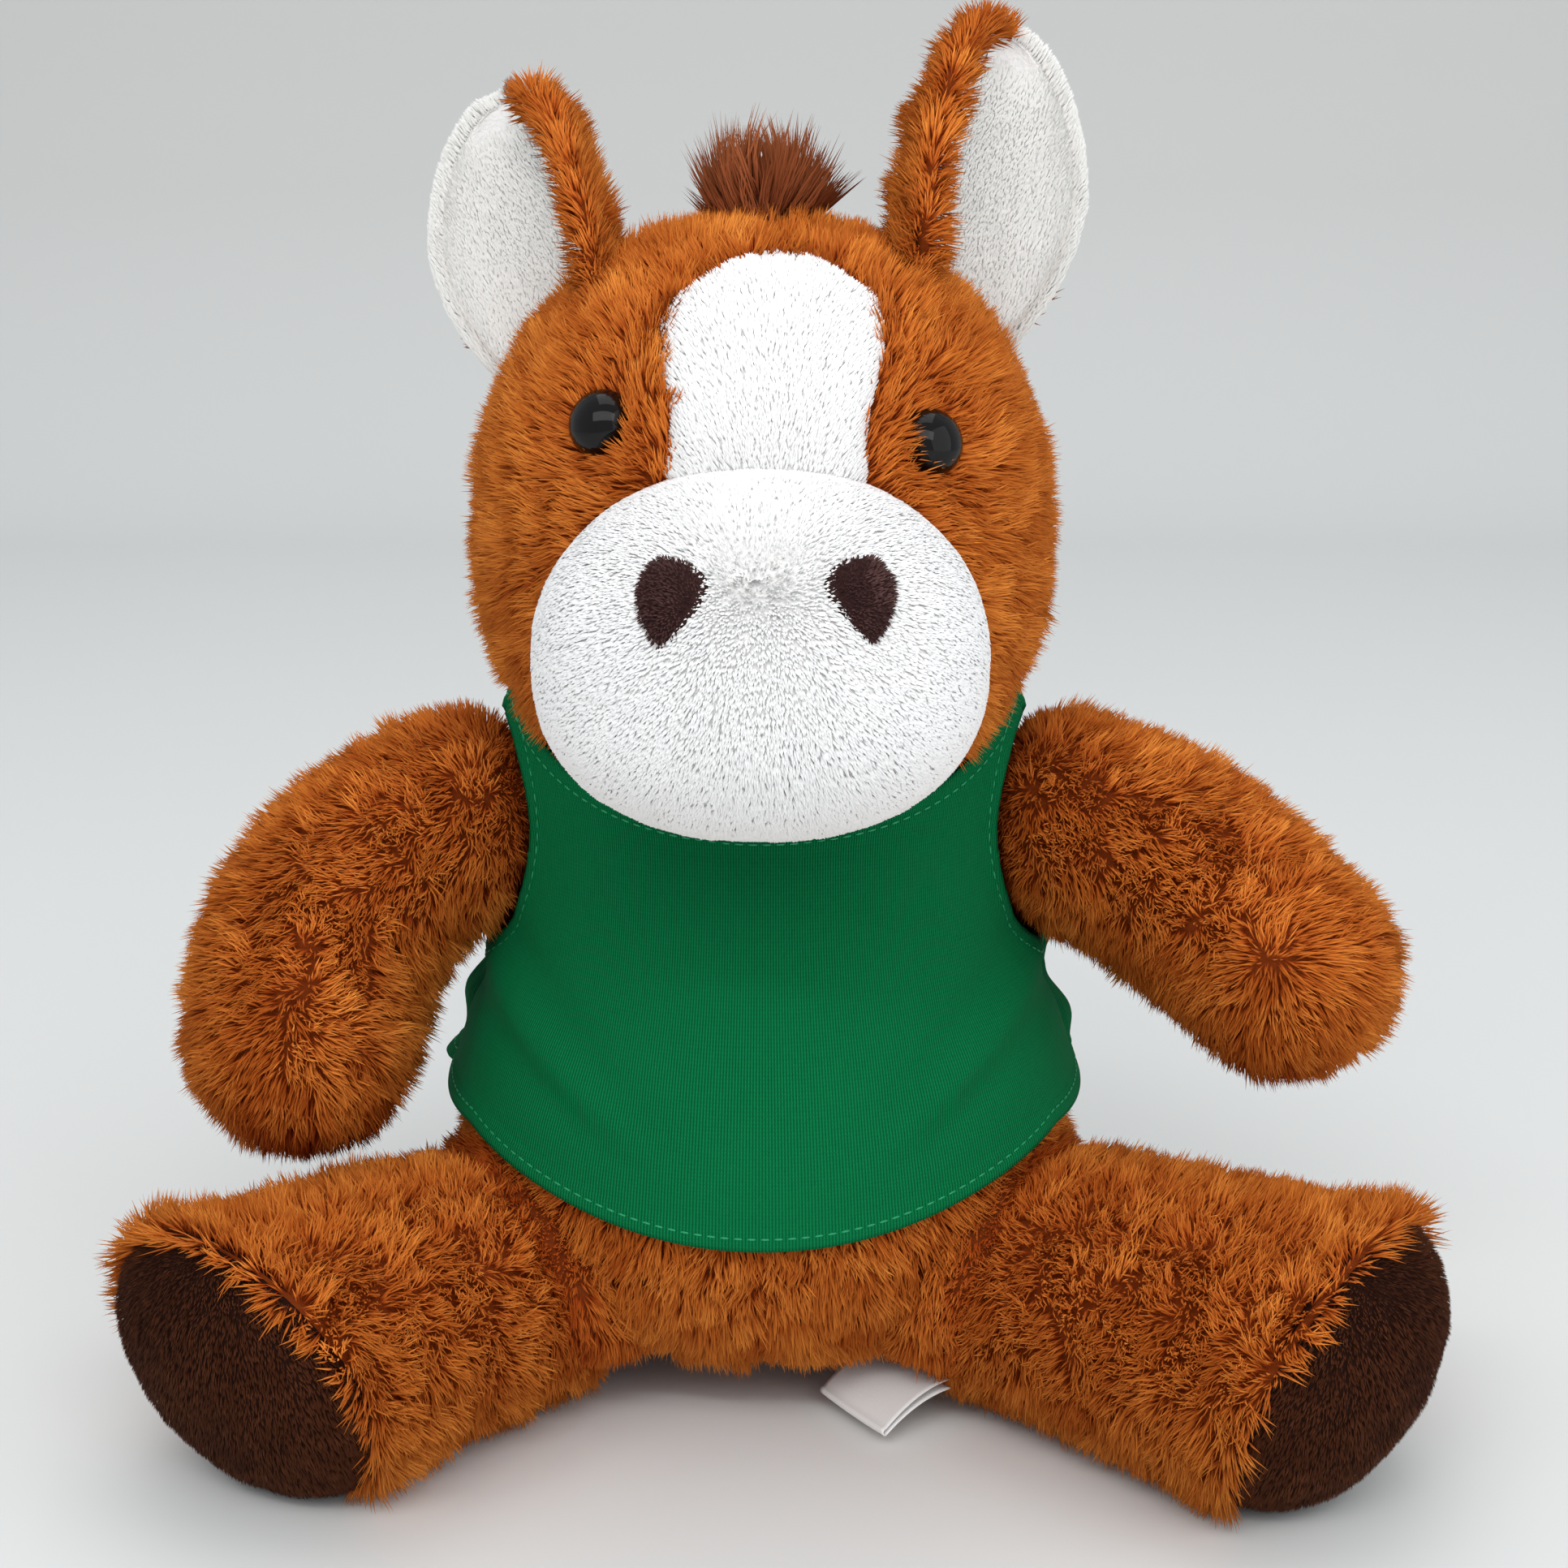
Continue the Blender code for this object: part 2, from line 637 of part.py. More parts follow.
# Guides that several pieces are cut by
floor_cut = guide(
    "floor_cut",
    slab_mesh("floor_cut", (0, 0, -CUT_OVERRUN), (TORSO_HEIGHT, TORSO_HEIGHT, CUT_OVERRUN)),
)
head_seat = head_space("head_seat", SEAM_GAP)
head_skin = guide("head_skin", head_mesh("head_skin", *head_facets, SEAM_GAP))
shoulders = {}
hips = {}
for side, sign in sides_of_body.items():
    shoulder = Vector((sign * SHOULDER_SPREAD, -SHOULDER_FORWARD, SHOULDER_HEIGHT))
    shoulders[side] = (shoulder, ball_seat(f"shoulder_seat_{side}", shoulder, ARM_ROOT_RADIUS))
    hip = leg_axes(side)[0]
    hips[side] = (hip, ball_seat(f"hip_seat_{side}", hip, LEG_ROOT_RADIUS))

tail_root = Vector((0.0, TAIL_ROOT_BACK, TAIL_ROOT_HEIGHT))
tail_seat = ball_seat("tail_seat", tail_root, TAIL_ROOT_RADIUS)
neck_low = head_centre - up * (HEAD_RADIUS + NECK_WAD_DEPTH)
neck_hole = guide(
    "neck_hole",
    rod_mesh(
        "neck_hole",
        neck_low - up * CUT_OVERRUN,
        head_centre,
        NECK_HOLE_RADIUS + SEAM_GAP,
        neck_sides,
    ),
)


def make_legs():
    """Each leg's cover, sole and stuffing, and the cutters that keep the torso clear of it."""
    sides = 16
    clear = {}
    for side in sides_of_body:
        hip, along, sole, facing, dome = leg_axes(side)
        root, tube = leg_rings(side, sides, CUFF_RADIUS)
        _, inner_tube = leg_rings(side, sides, FOOT_RADIUS)
        foot = np.array(sole + facing * dome)
        _, inner_tube, _ = grown(root, np.array(inner_tube), foot, -PLUSH_WALL)
        # The pile stands up round the sole as a lip, then the wall turns in behind the sole's seam
        rings = tube
        for far, wide in lip_shares:
            rings.append(ring_of(sole + facing * CUFF_LIP * far, facing, CUFF_RADIUS * wide, sides, up))
        seat = sole - facing * SEAM_GAP
        inner_end = FOOT_RADIUS - PLUSH_WALL
        rings.append(ring_of(sole + facing * CUFF_LIP / 2, facing, FOOT_RADIUS + 2 * SEAM_GAP, sides, up))
        rings.append(ring_of(seat, facing, FOOT_RADIUS + SEAM_GAP, sides, up))
        rings.append(ring_of(seat, facing, inner_end, sides, up))
        outside = len(rings) - 1
        rings = np.concatenate([rings, inner_tube[-2::-1]])
        cover = sleeve("leg", rings, range(outside, len(rings)))
        cover = node(f"leg_cover_{side}", cover, brown_plush, hip)
        cut(cover, floor_cut)

        outer, outer_top = dome_rings(side, sides)
        inner, inner_top = dome_rings(side, sides, grow=-VELOUR_WALL)
        inner[0] = ring_of(sole, facing, inner_end, sides, up)
        rings = np.array(inner[::-1] + outer)
        sole_mesh = skin("sole", inner_top, rings, outer_top, from_tip=range(len(inner)))
        cut(node(f"sole_{side}", sole_mesh, hoof_velour, hip), floor_cut)

        fill_dome, fill_top = dome_rings(side, sides, grow=-VELOUR_WALL - SEAM_GAP)
        fill_end = ring_of(sole, facing, inner_end - SEAM_GAP, sides, up)
        foot_tube = np.array(leg_rings(side, sides, FOOT_RADIUS)[1])
        fill_root, fill_tube, _ = grown(root, foot_tube, foot, -PLUSH_WALL - SEAM_GAP)
        fill_rings = np.concatenate([fill_tube[:-1], [fill_end], fill_dome[1:]])
        node(f"leg_stuffing_{side}", skin("fill", fill_root, fill_rings, fill_top), fill_fibre, hip)

        wide = LEG_ROOT_RADIUS + (CUFF_RADIUS - LEG_ROOT_RADIUS) * leg_space_share**2
        swept = guide(
            f"leg_space_{side}",
            rod_mesh(
                "space",
                hip,
                hip + along * LEG_LENGTH * leg_space_share,
                (LEG_ROOT_RADIUS + SEAM_GAP) * rod_ease,
                rod_sides,
                (wide + SEAM_GAP) * rod_ease,
            ),
            hip,
        )
        lift_axis = along.cross(up)
        clear[side] = [swept]
        for degrees in (LEG_LIFT_DEG, -LEG_DANGLE_DEG):
            clear[side].append(turned(swept, hip, lift_axis, degrees))
    return clear


def make_arms():
    tables = {"right": right_arm_shares, "left": left_arm_shares}
    for side, sign in sides_of_body.items():
        shoulder = shoulders[side][0]
        table = [
            (
                shoulder.x + sign * out * ARM_REACH,
                shoulder.y - ahead * ARM_FORWARD,
                shoulder.z - drop * ARM_HANG,
                wide * ARM_RADIUS,
            )
            for out, ahead, drop, wide in tables[side]
        ]
        form = limb_rings(table, front, 8, 16)
        cover = pocket("arm", form, grown(*form, -PLUSH_WALL))
        node(f"arm_cover_{side}", cover, brown_plush, shoulder)
        fill = skin("fill", *form, -PLUSH_WALL - SEAM_GAP)
        node(f"arm_stuffing_{side}", fill, fill_fibre, shoulder)


def make_torso(leg_space):
    seats = [seat for _, seat in (*shoulders.values(), *hips.values())]
    inside = guide("torso_inside", torso_mesh("torso_inside", *torso_inner_facets, -PLUSH_WALL))
    cover = node("torso_cover", torso_mesh("torso", *torso_facets), brown_plush)
    cut(cover, inside, neck_hole, head_seat, *seats, tail_seat, floor_cut)
    for space in leg_space.values():
        cut(cover, *space)
    bag_centre = Vector((0.0, PELLET_BACK, PLUSH_WALL + PELLET_HALF_HEIGHT + 4 * SEAM_GAP))
    bag_halves = (PELLET_HALF_WIDTH, PELLET_HALF_WIDTH, PELLET_HALF_HEIGHT)
    bag = ball_mesh("bag", bag_centre, bag_halves, *bag_facets, power=bag_power)
    node("pellet_bag", bag, pellet_cloth)
    bag_space = guide(
        "bag_space",
        ball_mesh("bag_space", bag_centre, bag_halves, *bag_facets, SEAM_GAP, power=bag_power),
    )
    bag_drop = guide(
        "bag_drop",
        rod_mesh(
            "bag_drop",
            bag_centre,
            bag_centre - up * CUT_OVERRUN,
            PELLET_HALF_WIDTH - VELOUR_WALL,
            bag_facets[1],
        ),
    )
    wad_space = guide(
        "wad_space",
        rod_mesh(
            "wad_space",
            neck_low - up * SEAM_GAP,
            head_centre,
            NECK_HOLE_RADIUS + SEAM_GAP,
            neck_sides,
        ),
    )
    fill_mesh = torso_mesh("fill", *torso_inner_facets, -PLUSH_WALL - SEAM_GAP)
    fill = node("torso_stuffing", fill_mesh, fill_fibre)
    cut(fill, wad_space, head_seat, *seats, tail_seat, bag_space, bag_drop)
    for space in leg_space.values():
        cut(fill, *space)
    wad_mesh = rod_mesh("wad", neck_low, head_centre, NECK_HOLE_RADIUS, neck_sides)
    wad = node("neck_stuffing", wad_mesh, fill_fibre, head_centre)
    cut(wad, head_seat)


def make_shirt(leg_space):
    """Two panels between the side seams, cut by the neck, the arms and the hem."""
    half = BELLY_HALF_WIDTH + CUT_OVERRUN
    places = np.linspace(-1, 1, 25)
    rise = SHIRT_HEM_RISE * np.clip(np.abs(places) * half / SHIRT_HEM_SPREAD, 0, 1) ** 2
    outline = [(x * half, SHIRT_HEM_HEIGHT + up_by) for x, up_by in zip(places, rise)]
    outline += [(half, -CUT_OVERRUN), (-half, -CUT_OVERRUN)]
    hem = guide("hem_cut", prism_mesh("hem_cut", outline, -half, half))
    outer_ease = 2 * SEAM_GAP + KNIT_WALL
    inside = guide("shirt_inside", shirt_mesh("shirt_inside", *torso_facets, 2 * SEAM_GAP))
    collar = head_space("collar_cut", 2 * SEAM_GAP)
    armholes = [
        ball_seat(f"armhole_{side}", shoulders[side][0], ARM_ROOT_RADIUS, ARMHOLE_GAP) for side in shoulders
    ]
    seam = SIDE_SEAM_BACK - BELLY_FORWARD
    for name, way in (("shirt_front", 1), ("shirt_back", -1)):
        panel = node(name, shirt_mesh(name, *torso_facets, outer_ease), green_knit)
        away = guide(
            f"{name}_end",
            slab_mesh(
                "end",
                (0, seam + way * (half - SEAM_GAP / 2), TORSO_HEIGHT / 2),
                (half, half, TORSO_HEIGHT),
            ),
        )
        cut(panel, inside, away, hem, collar, neck_hole, *armholes)
        for resting, lifted, _ in leg_space.values():
            cut(panel, resting, lifted)


def eye_axis(side):
    """The place on the head where an eye sits, and the way it faces."""
    spread_share, rise_share = eye_shares[side]
    spread, rise = spread_share * EYE_SPREAD, rise_share * EYE_RISE
    level = 1 - (spread / HEAD_RADIUS) ** 2 - (rise / HEAD_CROWN_HEIGHT) ** 2
    ahead = HEAD_RADIUS * math.sqrt(level)
    out = sides_of_body[side] * spread
    place = head_centre + Vector((out, -ahead, rise))
    facing = Vector((out, -ahead, rise * (HEAD_RADIUS / HEAD_CROWN_HEIGHT) ** 2))
    return place, facing.normalized()


def make_eyes():
    """Domed eyes on shanks, held from inside by washers; returns what the cover and fill need cut."""
    pits, pockets = [], []
    inner_radius = HEAD_RADIUS - PLUSH_WALL
    curve_in = inner_radius - math.sqrt(inner_radius**2 - WASHER_RADIUS**2)
    washer_depth = PLUSH_WALL + curve_in + SEAM_GAP
    for side in sides_of_body:
        place, facing = eye_axis(side)
        seat = place - facing * EYE_SEAT_DEPTH
        turn = np.linspace(0, 2 * math.pi, eye_sides, endpoint=False)[:, None]
        across, over = frame_across(np.array(facing), np.array(up))
        circle = np.cos(turn) * across + np.sin(turn) * over
        rings = []
        for angle in np.linspace(0, math.pi / 2, 5)[:-1]:
            lift = EYE_DOME_HEIGHT * (eye_rim_share + (1 - eye_rim_share) * math.sin(angle))
            rings.append(np.array(seat + facing * lift) + EYE_RADIUS * math.cos(angle) * circle)
        base = np.array(seat) + EYE_RADIUS * circle
        rings.insert(0, base)
        mesh = skin("eye", np.array(seat), np.array(rings), np.array(seat + facing * EYE_DOME_HEIGHT))
        eye = node(f"eye_{side}", mesh, eye_gloss, seat)
        end = seat - facing * SHANK_LENGTH
        into = EYE_DOME_HEIGHT * eye_rim_share
        shank = guide(
            f"shank_{side}", rod_mesh("shank", seat + facing * into, end, SHANK_RADIUS, shank_sides)
        )
        cut(eye, shank, operation="UNION")
        pit_end = seat - facing * SEAM_GAP
        pits.append(
            guide(
                f"eye_pit_{side}",
                rod_mesh("pit", pit_end, place + facing * CUT_OVERRUN, EYE_RADIUS + SEAM_GAP, eye_sides),
            )
        )
        pits.append(
            guide(
                f"shank_hole_{side}", rod_mesh("hole", place, end, SHANK_RADIUS + SEAM_GAP, shank_sides)
            )
        )
        washer_front = place - facing * washer_depth
        washer_end = washer_front - facing * WASHER_WALL
        washer = node(
            f"eye_washer_{side}",
            rod_mesh("washer", washer_front, washer_end, WASHER_RADIUS, eye_sides),
            washer_plastic,
            seat,
        )
        bore_end = end - facing * EYE_RADIUS
        bore = guide(
            f"washer_bore_{side}",
            rod_mesh("bore", place, bore_end, SHANK_RADIUS + SEAM_GAP, shank_sides),
        )
        cut(washer, bore)
        pockets.append(
            guide(
                f"washer_pocket_{side}",
                rod_mesh("pocket", place, end - facing * SEAM_GAP, WASHER_RADIUS + SEAM_GAP, 16),
            )
        )
    return pits, pockets


def blaze_outline(grow):
    """The blaze's outline, whose middle line leans a little to the horse's left."""
    low = head_centre.z + BLAZE_TOP_RISE - BLAZE_HEIGHT
    rows = smooth_rows(blaze_shares, 14)
    outline = []
    for sign, half in ((1, rows), (-1, rows[1:][::-1])):
        for wide, tall in half:
            middle = BLAZE_SHIFT + BLAZE_LEAN * tall
            past = grow if tall > 0.5 else -grow
            out = sign * wide * (BLAZE_HALF_WIDTH + grow)
            outline.append((middle + out, low + tall * BLAZE_HEIGHT + past))
    return outline


def make_head():
    pits, pockets = make_eyes()
    inside = guide("head_inside", head_mesh("head_inside", *head_inner_facets, -PLUSH_WALL))
    neck = guide("head_neck", rod_mesh("head_neck", neck_low, head_centre, NECK_HOLE_RADIUS, neck_sides))
    far = head_centre.y - HEAD_RADIUS - CUT_OVERRUN
    blaze_space = guide(
        "blaze_space", prism_mesh("blaze_space", blaze_outline(SEAM_GAP), head_centre.y, far)
    )
    muzzle_window = guide(
        "muzzle_window", muzzle_mesh("muzzle_window", *muzzle_inner_facets, -VELOUR_WALL)
    )
    cover = node("head_cover", head_mesh("head", *head_facets), brown_plush, head_centre)
    cut(cover, inside, neck, muzzle_window, blaze_space, *pits)
    fill_mesh = head_mesh("fill", *head_inner_facets, -PLUSH_WALL - SEAM_GAP)
    fill = node("head_stuffing", fill_mesh, fill_fibre, head_centre)
    cut(fill, *pockets)

    muzzle_outside = guide("muzzle_outside", muzzle_mesh("muzzle_outside", *muzzle_facets, SEAM_GAP))
    muzzle = node("muzzle_cover", muzzle_mesh("muzzle", *muzzle_facets), white_velour, head_centre)
    cut(muzzle, muzzle_window, head_skin)
    fill_mesh = muzzle_mesh("fill", *muzzle_inner_facets, -VELOUR_WALL - SEAM_GAP)
    muzzle_fill = node("muzzle_stuffing", fill_mesh, fill_fibre, head_centre)
    cut(muzzle_fill, inside)

    blaze = node("blaze", head_mesh("blaze", *head_facets, BLAZE_PROUD), white_velour, head_centre)
    blaze_edge = guide("blaze_edge", prism_mesh("blaze_edge", blaze_outline(0.0), head_centre.y, far))
    cut(blaze, blaze_edge, operation="INTERSECT")
    cut(blaze, inside, muzzle_outside)

    nostril_under = guide("nostril_under", muzzle_mesh("nostril_under", *muzzle_facets, SEAM_GAP))
    for side, sign in sides_of_body.items():
        ring, depth = nostril_ring(sign)
        edge = guide(f"nostril_edge_{side}", column_mesh("nostril_edge", ring - depth, ring + depth))
        patch = node(
            f"nostril_{side}",
            muzzle_mesh("nostril", *muzzle_facets, SEAM_GAP + NOSTRIL_WALL),
            nostril_velour,
            head_centre,
        )
        cut(patch, edge, operation="INTERSECT")
        cut(patch, nostril_under)


def nostril_ring(sign):
    """A leaf between two points, one above the other, that bulges most towards the muzzle's middle.

    It lies across the muzzle's own normal where the nostril sits; also the depth it is cut to.
    """
    halves = np.array((MUZZLE_HALF_WIDTH, MUZZLE_HALF_DEPTH, MUZZLE_HALF_HEIGHT))
    shares = np.array((sign * NOSTRIL_SPREAD + NOSTRIL_SHIFT, 0.0, NOSTRIL_RISE)) / halves
    shares[1] = -((1 - (np.abs(shares) ** muzzle_power).sum()) ** (1 / muzzle_power))
    normal = np.sign(shares) * np.abs(shares) ** (muzzle_power - 1) / halves
    normal /= np.linalg.norm(normal)
    over = np.cross(normal, (1.0, 0.0, 0.0))
    over /= np.linalg.norm(over)
    across = np.cross(over, normal)
    tall = np.sin(np.linspace(-math.pi / 2, math.pi / 2, 9))[1:-1, None]
    wide = (1 - tall**2) ** nostril_round_share * (1 + nostril_high_share * tall)
    middle = np.array(muzzle_centre) + shares * halves
    line = middle + NOSTRIL_HALF_HEIGHT * tall * over
    inner = line - sign * NOSTRIL_INNER_REACH * wide * across
    outer = line + sign * NOSTRIL_OUTER_REACH * wide * across
    points = [middle - NOSTRIL_HALF_HEIGHT * over, middle + NOSTRIL_HALF_HEIGHT * over]
    ring = np.concatenate([points[:1], outer, points[1:], inner[::-1]])
    return ring, normal * NOSTRIL_HALF_HEIGHT


def make_mane():
    """Tufts along the middle of the head, from the brow over the poll to the nape."""
    count, sides, tufts = 19, 10, 6
    height = smooth_rows(mane_shares, count)[:, 0] * FORELOCK_HEIGHT
    height *= 1 + tuft_share * np.sin(np.linspace(0, tufts * math.pi, count)) ** 2
    bend = np.radians(np.linspace(MANE_BROW_DEG, MANE_NAPE_DEG, count))
    turn = np.linspace(0, 2 * math.pi, sides, endpoint=False)[:, None]
    rings = []
    for angle, tall in zip(bend, height):
        out = np.array((0.0, -math.cos(angle), math.sin(angle)))
        reach = np.array((0.0, HEAD_RADIUS, HEAD_CROWN_HEIGHT))
        place = np.array(head_centre) + out * reach
        rings.append(
            place + MANE_HALF_WIDTH * np.cos(turn) * np.array((1.0, 0.0, 0.0)) + tall * np.sin(turn) * out
        )
    rings = np.array(rings)
    ends = []
    for ring, nearer in ((rings[0], rings[1]), (rings[-1], rings[-2])):
        away = ring.mean(0) - nearer.mean(0)
        ends.append(ring.mean(0) + away / np.linalg.norm(away) * PLUSH_WALL)
    mane = node("mane", skin("mane", ends[0], rings, ends[1]), dark_plush, head_centre)
    cut(mane, head_skin)


def make_ears():
    """A brown back and a white lining, cupped about the ear's length and folded at the root."""
    for side, (root_share, lean, lining_way, length_share) in ear_shares.items():
        along = np.array(lean) / np.linalg.norm(lean)
        facing = np.array(lining_way) - along * along.dot(lining_way)
        facing /= np.linalg.norm(facing)
        across = np.cross(along, facing)
        root = head_centre + Vector(root_share) * Vector((HEAD_RADIUS, HEAD_RADIUS, HEAD_CROWN_HEIGHT))
        rows, columns = 9, 9
        u = np.linspace(0, 1, rows)[:, None]
        v = np.linspace(-1, 1, columns)[None]
        # Half width: narrow at the root, widest a third of the way up, rounded at the tip
        at_root, added, closing = ear_width_shares
        wide = EAR_HALF_WIDTH * (at_root + added * np.sin(np.pi * u**0.8))
        wide = wide * np.sqrt(np.clip(closing - u**5, 0, 1))
        bend = np.radians(EAR_ROOT_BEND_DEG + (EAR_TIP_BEND_DEG - EAR_ROOT_BEND_DEG) * u)
        radius = wide / bend
        depth_start = PLUSH_WALL + EAR_BACK_WALL
        height = u * (EAR_LENGTH * length_share + depth_start) - depth_start
        spread = radius[..., None] * np.sin(v * bend)[..., None] * across
        hollow = radius[..., None] * (1 - np.cos(v * bend))[..., None] * facing
        middle = np.array(root) + height[..., None] * along + spread + hollow
        inward = -np.sin(v * bend)[..., None] * across + np.cos(v * bend)[..., None] * facing
        back_near = middle - inward * (EAR_BACK_WALL + SEAM_GAP / 2)
        back_far = middle - inward * SEAM_GAP / 2
        lining_near = middle + inward * SEAM_GAP / 2
        lining_far = middle + inward * (EAR_LINING_WALL + SEAM_GAP / 2)
        back = node(f"ear_back_{side}", plate_mesh("ear_back", back_near, back_far), brown_plush, root)
        lining_mesh = plate_mesh("ear_lining", lining_near, lining_far)
        lining = node(f"ear_lining_{side}", lining_mesh, white_velour, root)
        for degrees in (0.0, -EAR_FOLD_DEG, EAR_FOLD_DEG):
            space = turned(head_seat, root, Vector(across), degrees)
            cut(back, space)
            cut(lining, space)


def make_tail():
    table = [
        (0.0, tail_root.y + far * TAIL_REACH, tail_root.z - drop * TAIL_DROP, wide * TAIL_RADIUS)
        for far, drop, wide in tail_shares
    ]
    rings = limb_rings(table, (1.0, 0.0, 0.0), 6, 12)
    node("tail", skin("tail", *rings), dark_plush, tail_root)


def make_label(leg_space):
    """A folded satin strip that droops from the seam between the torso and the left leg."""
    rows, columns = 6, 4
    t = np.linspace(0, 1, rows)[:, None, None]
    s = np.linspace(-0.5, 0.5, columns)[None, :, None]
    turn = math.radians(LABEL_TURN_DEG)
    across = np.array((math.sin(turn), -math.cos(turn), 0.0))
    outward = np.array((-math.cos(turn), -math.sin(turn), 0.0))
    fold = np.array((LABEL_SPREAD, -LABEL_REACH, LABEL_HEIGHT))
    middle = fold + s * LABEL_WIDTH * across - (1 - t) * LABEL_LENGTH * outward
    middle = middle + (1 - t**2) * LABEL_RISE * np.array(up)
    lift = np.array(up) * SATIN_WALL / 2
    label = node("care_label", plate_mesh("label", middle - lift, middle + lift), satin)
    space = guide("label_space", torso_mesh("label_space", *torso_facets, SEAM_GAP))
    cut(label, space, hips["left"][1], *leg_space["left"])


def main():
    leg_space = make_legs()
    make_arms()
    make_torso(leg_space)
    make_shirt(leg_space)
    make_head()
    make_mane()
    make_ears()
    make_tail()
    make_label(leg_space)


main()
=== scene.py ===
import math

import bpy
import numpy as np
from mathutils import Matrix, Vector


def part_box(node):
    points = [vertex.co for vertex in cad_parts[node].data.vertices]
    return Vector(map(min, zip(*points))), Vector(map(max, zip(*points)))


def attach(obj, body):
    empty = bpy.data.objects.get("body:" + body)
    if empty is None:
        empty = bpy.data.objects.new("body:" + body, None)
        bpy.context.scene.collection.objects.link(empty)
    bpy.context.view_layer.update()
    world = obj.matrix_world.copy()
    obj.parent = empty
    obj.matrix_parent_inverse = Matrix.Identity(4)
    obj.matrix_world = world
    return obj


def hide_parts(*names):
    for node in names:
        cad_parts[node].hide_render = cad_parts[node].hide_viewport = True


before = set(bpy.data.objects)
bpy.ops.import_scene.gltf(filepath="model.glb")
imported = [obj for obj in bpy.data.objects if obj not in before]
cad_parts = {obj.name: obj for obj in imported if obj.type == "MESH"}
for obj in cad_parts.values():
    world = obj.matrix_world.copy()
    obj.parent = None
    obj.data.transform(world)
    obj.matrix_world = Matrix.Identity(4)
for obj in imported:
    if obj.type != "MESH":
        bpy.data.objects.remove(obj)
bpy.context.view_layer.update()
scene = bpy.context.scene
mm = 0.001

# Every form below is worked out in millimetres, in the model's own frame:
# the horse faces -Y, its left is +X, and it sits on z = 0.
headCentre = np.array((0.0, -15.0, 151.0))
muzzleCentre = headCentre + np.array((0.0, -51.0, -7.0))
sides = {"right": -1, "left": 1}
shoulders = {side: np.array((sign * 55.5, -6.0, 100.0)) for side, sign in sides.items()}
up = np.array((0.0, 0.0, 1.0))


# Numbers along surfaces and paths


def unit(vectors):
    # Each vector over its own length
    return vectors / np.maximum(np.linalg.norm(vectors, axis=-1, keepdims=True), 1e-9)


def smoothRows(table, at):
    # Catmull-Rom through the rows of a table, read at row numbers
    rows = np.array(table, float).reshape(len(table), -1)
    padded = np.concatenate([2 * rows[:1] - rows[1:2], rows, 2 * rows[-1:] - rows[-2:-1]])
    at = np.clip(at, 0, len(rows) - 1)
    first = np.minimum(at.astype(int), len(rows) - 2)
    t = (at - first)[:, None]
    a, b, c, d = (padded[first + step] for step in range(4))
    return 0.5 * (2 * b + (c - a) * t + (2 * a - 5 * b + 4 * c - d) * t**2 + (3 * b - a - 3 * c + d) * t**3)


def faceCross(points, faces):
    # Twice each face's area, along its normal
    corner = points[faces]
    return np.cross(corner[:, 1] - corner[:, 0], corner[:, 2] - corner[:, 0])


def shell(points, faces):
    # Points, triangles turned outwards, and smooth normals
    cross = faceCross(points, faces)
    if (cross * (points[faces[:, 0]] - points.mean(0))).sum() < 0:
        faces, cross = faces[:, ::-1], -cross
    normals = np.stack(
        [sum(np.bincount(faces[:, k], cross[:, axis], len(points)) for k in range(3)) for axis in range(3)], 1
    )
    return points, faces, unit(normals)


def lathe(first, rings, last):
    # Rings of points joined and closed at two poles
    count, around = rings.shape[:2]
    points = np.concatenate([[first], rings.reshape(-1, 3), [last]])
    start = 1 + np.arange(count - 1)[:, None] * around
    j = np.arange(around)
    after = (j + 1) % around
    a, b, c, d = start + j, start + after, start + around + after, start + around + j
    end, top = 1 + (count - 1) * around, 1 + count * around
    faces = [np.stack([a, b, c], 2).reshape(-1, 3), np.stack([a, c, d], 2).reshape(-1, 3)]
    faces.append(np.stack([0 * j, 1 + after, 1 + j], 1))
    faces.append(np.stack([top + 0 * j, end + j, end + after], 1))
    return shell(points, np.concatenate(faces))


def inflated(surface, grow):
    # Every point moved out along its own normal
    points, faces, normals = surface
    return shell(points + normals * np.reshape(grow, (-1, 1)), faces)


def gridFaces(rows, columns):
    # The four corners of each cell of a grid of points
    a = (np.arange(rows - 1)[:, None] * columns + np.arange(columns - 1)).reshape(-1)
    return np.stack([a, a + 1, a + columns + 1, a + columns], 1)


def triangles(quads):
    return np.concatenate([quads[:, :3], quads[:, [0, 2, 3]]])


def aboveFloor(points, least):
    return np.maximum(points, (-np.inf, -np.inf, least))


def thickened(points, quads, normals, wall):
    # A sheet given a wall: the same faces turned over behind it, and a rim on each open edge
    count = len(points)
    both = np.concatenate([points, points - normals * wall])
    pair = np.stack([quads, np.roll(quads, -1, 1)], 2).reshape(-1, 2)
    code = np.sort(pair, 1) @ np.array((count, 1))
    _, first, times = np.unique(code, return_index=True, return_counts=True)
    a, b = pair[first[times == 1]].T
    rim = np.stack([b, a, a + count, b + count], 1)
    return both, np.concatenate([quads, quads[:, ::-1] + count, rim])


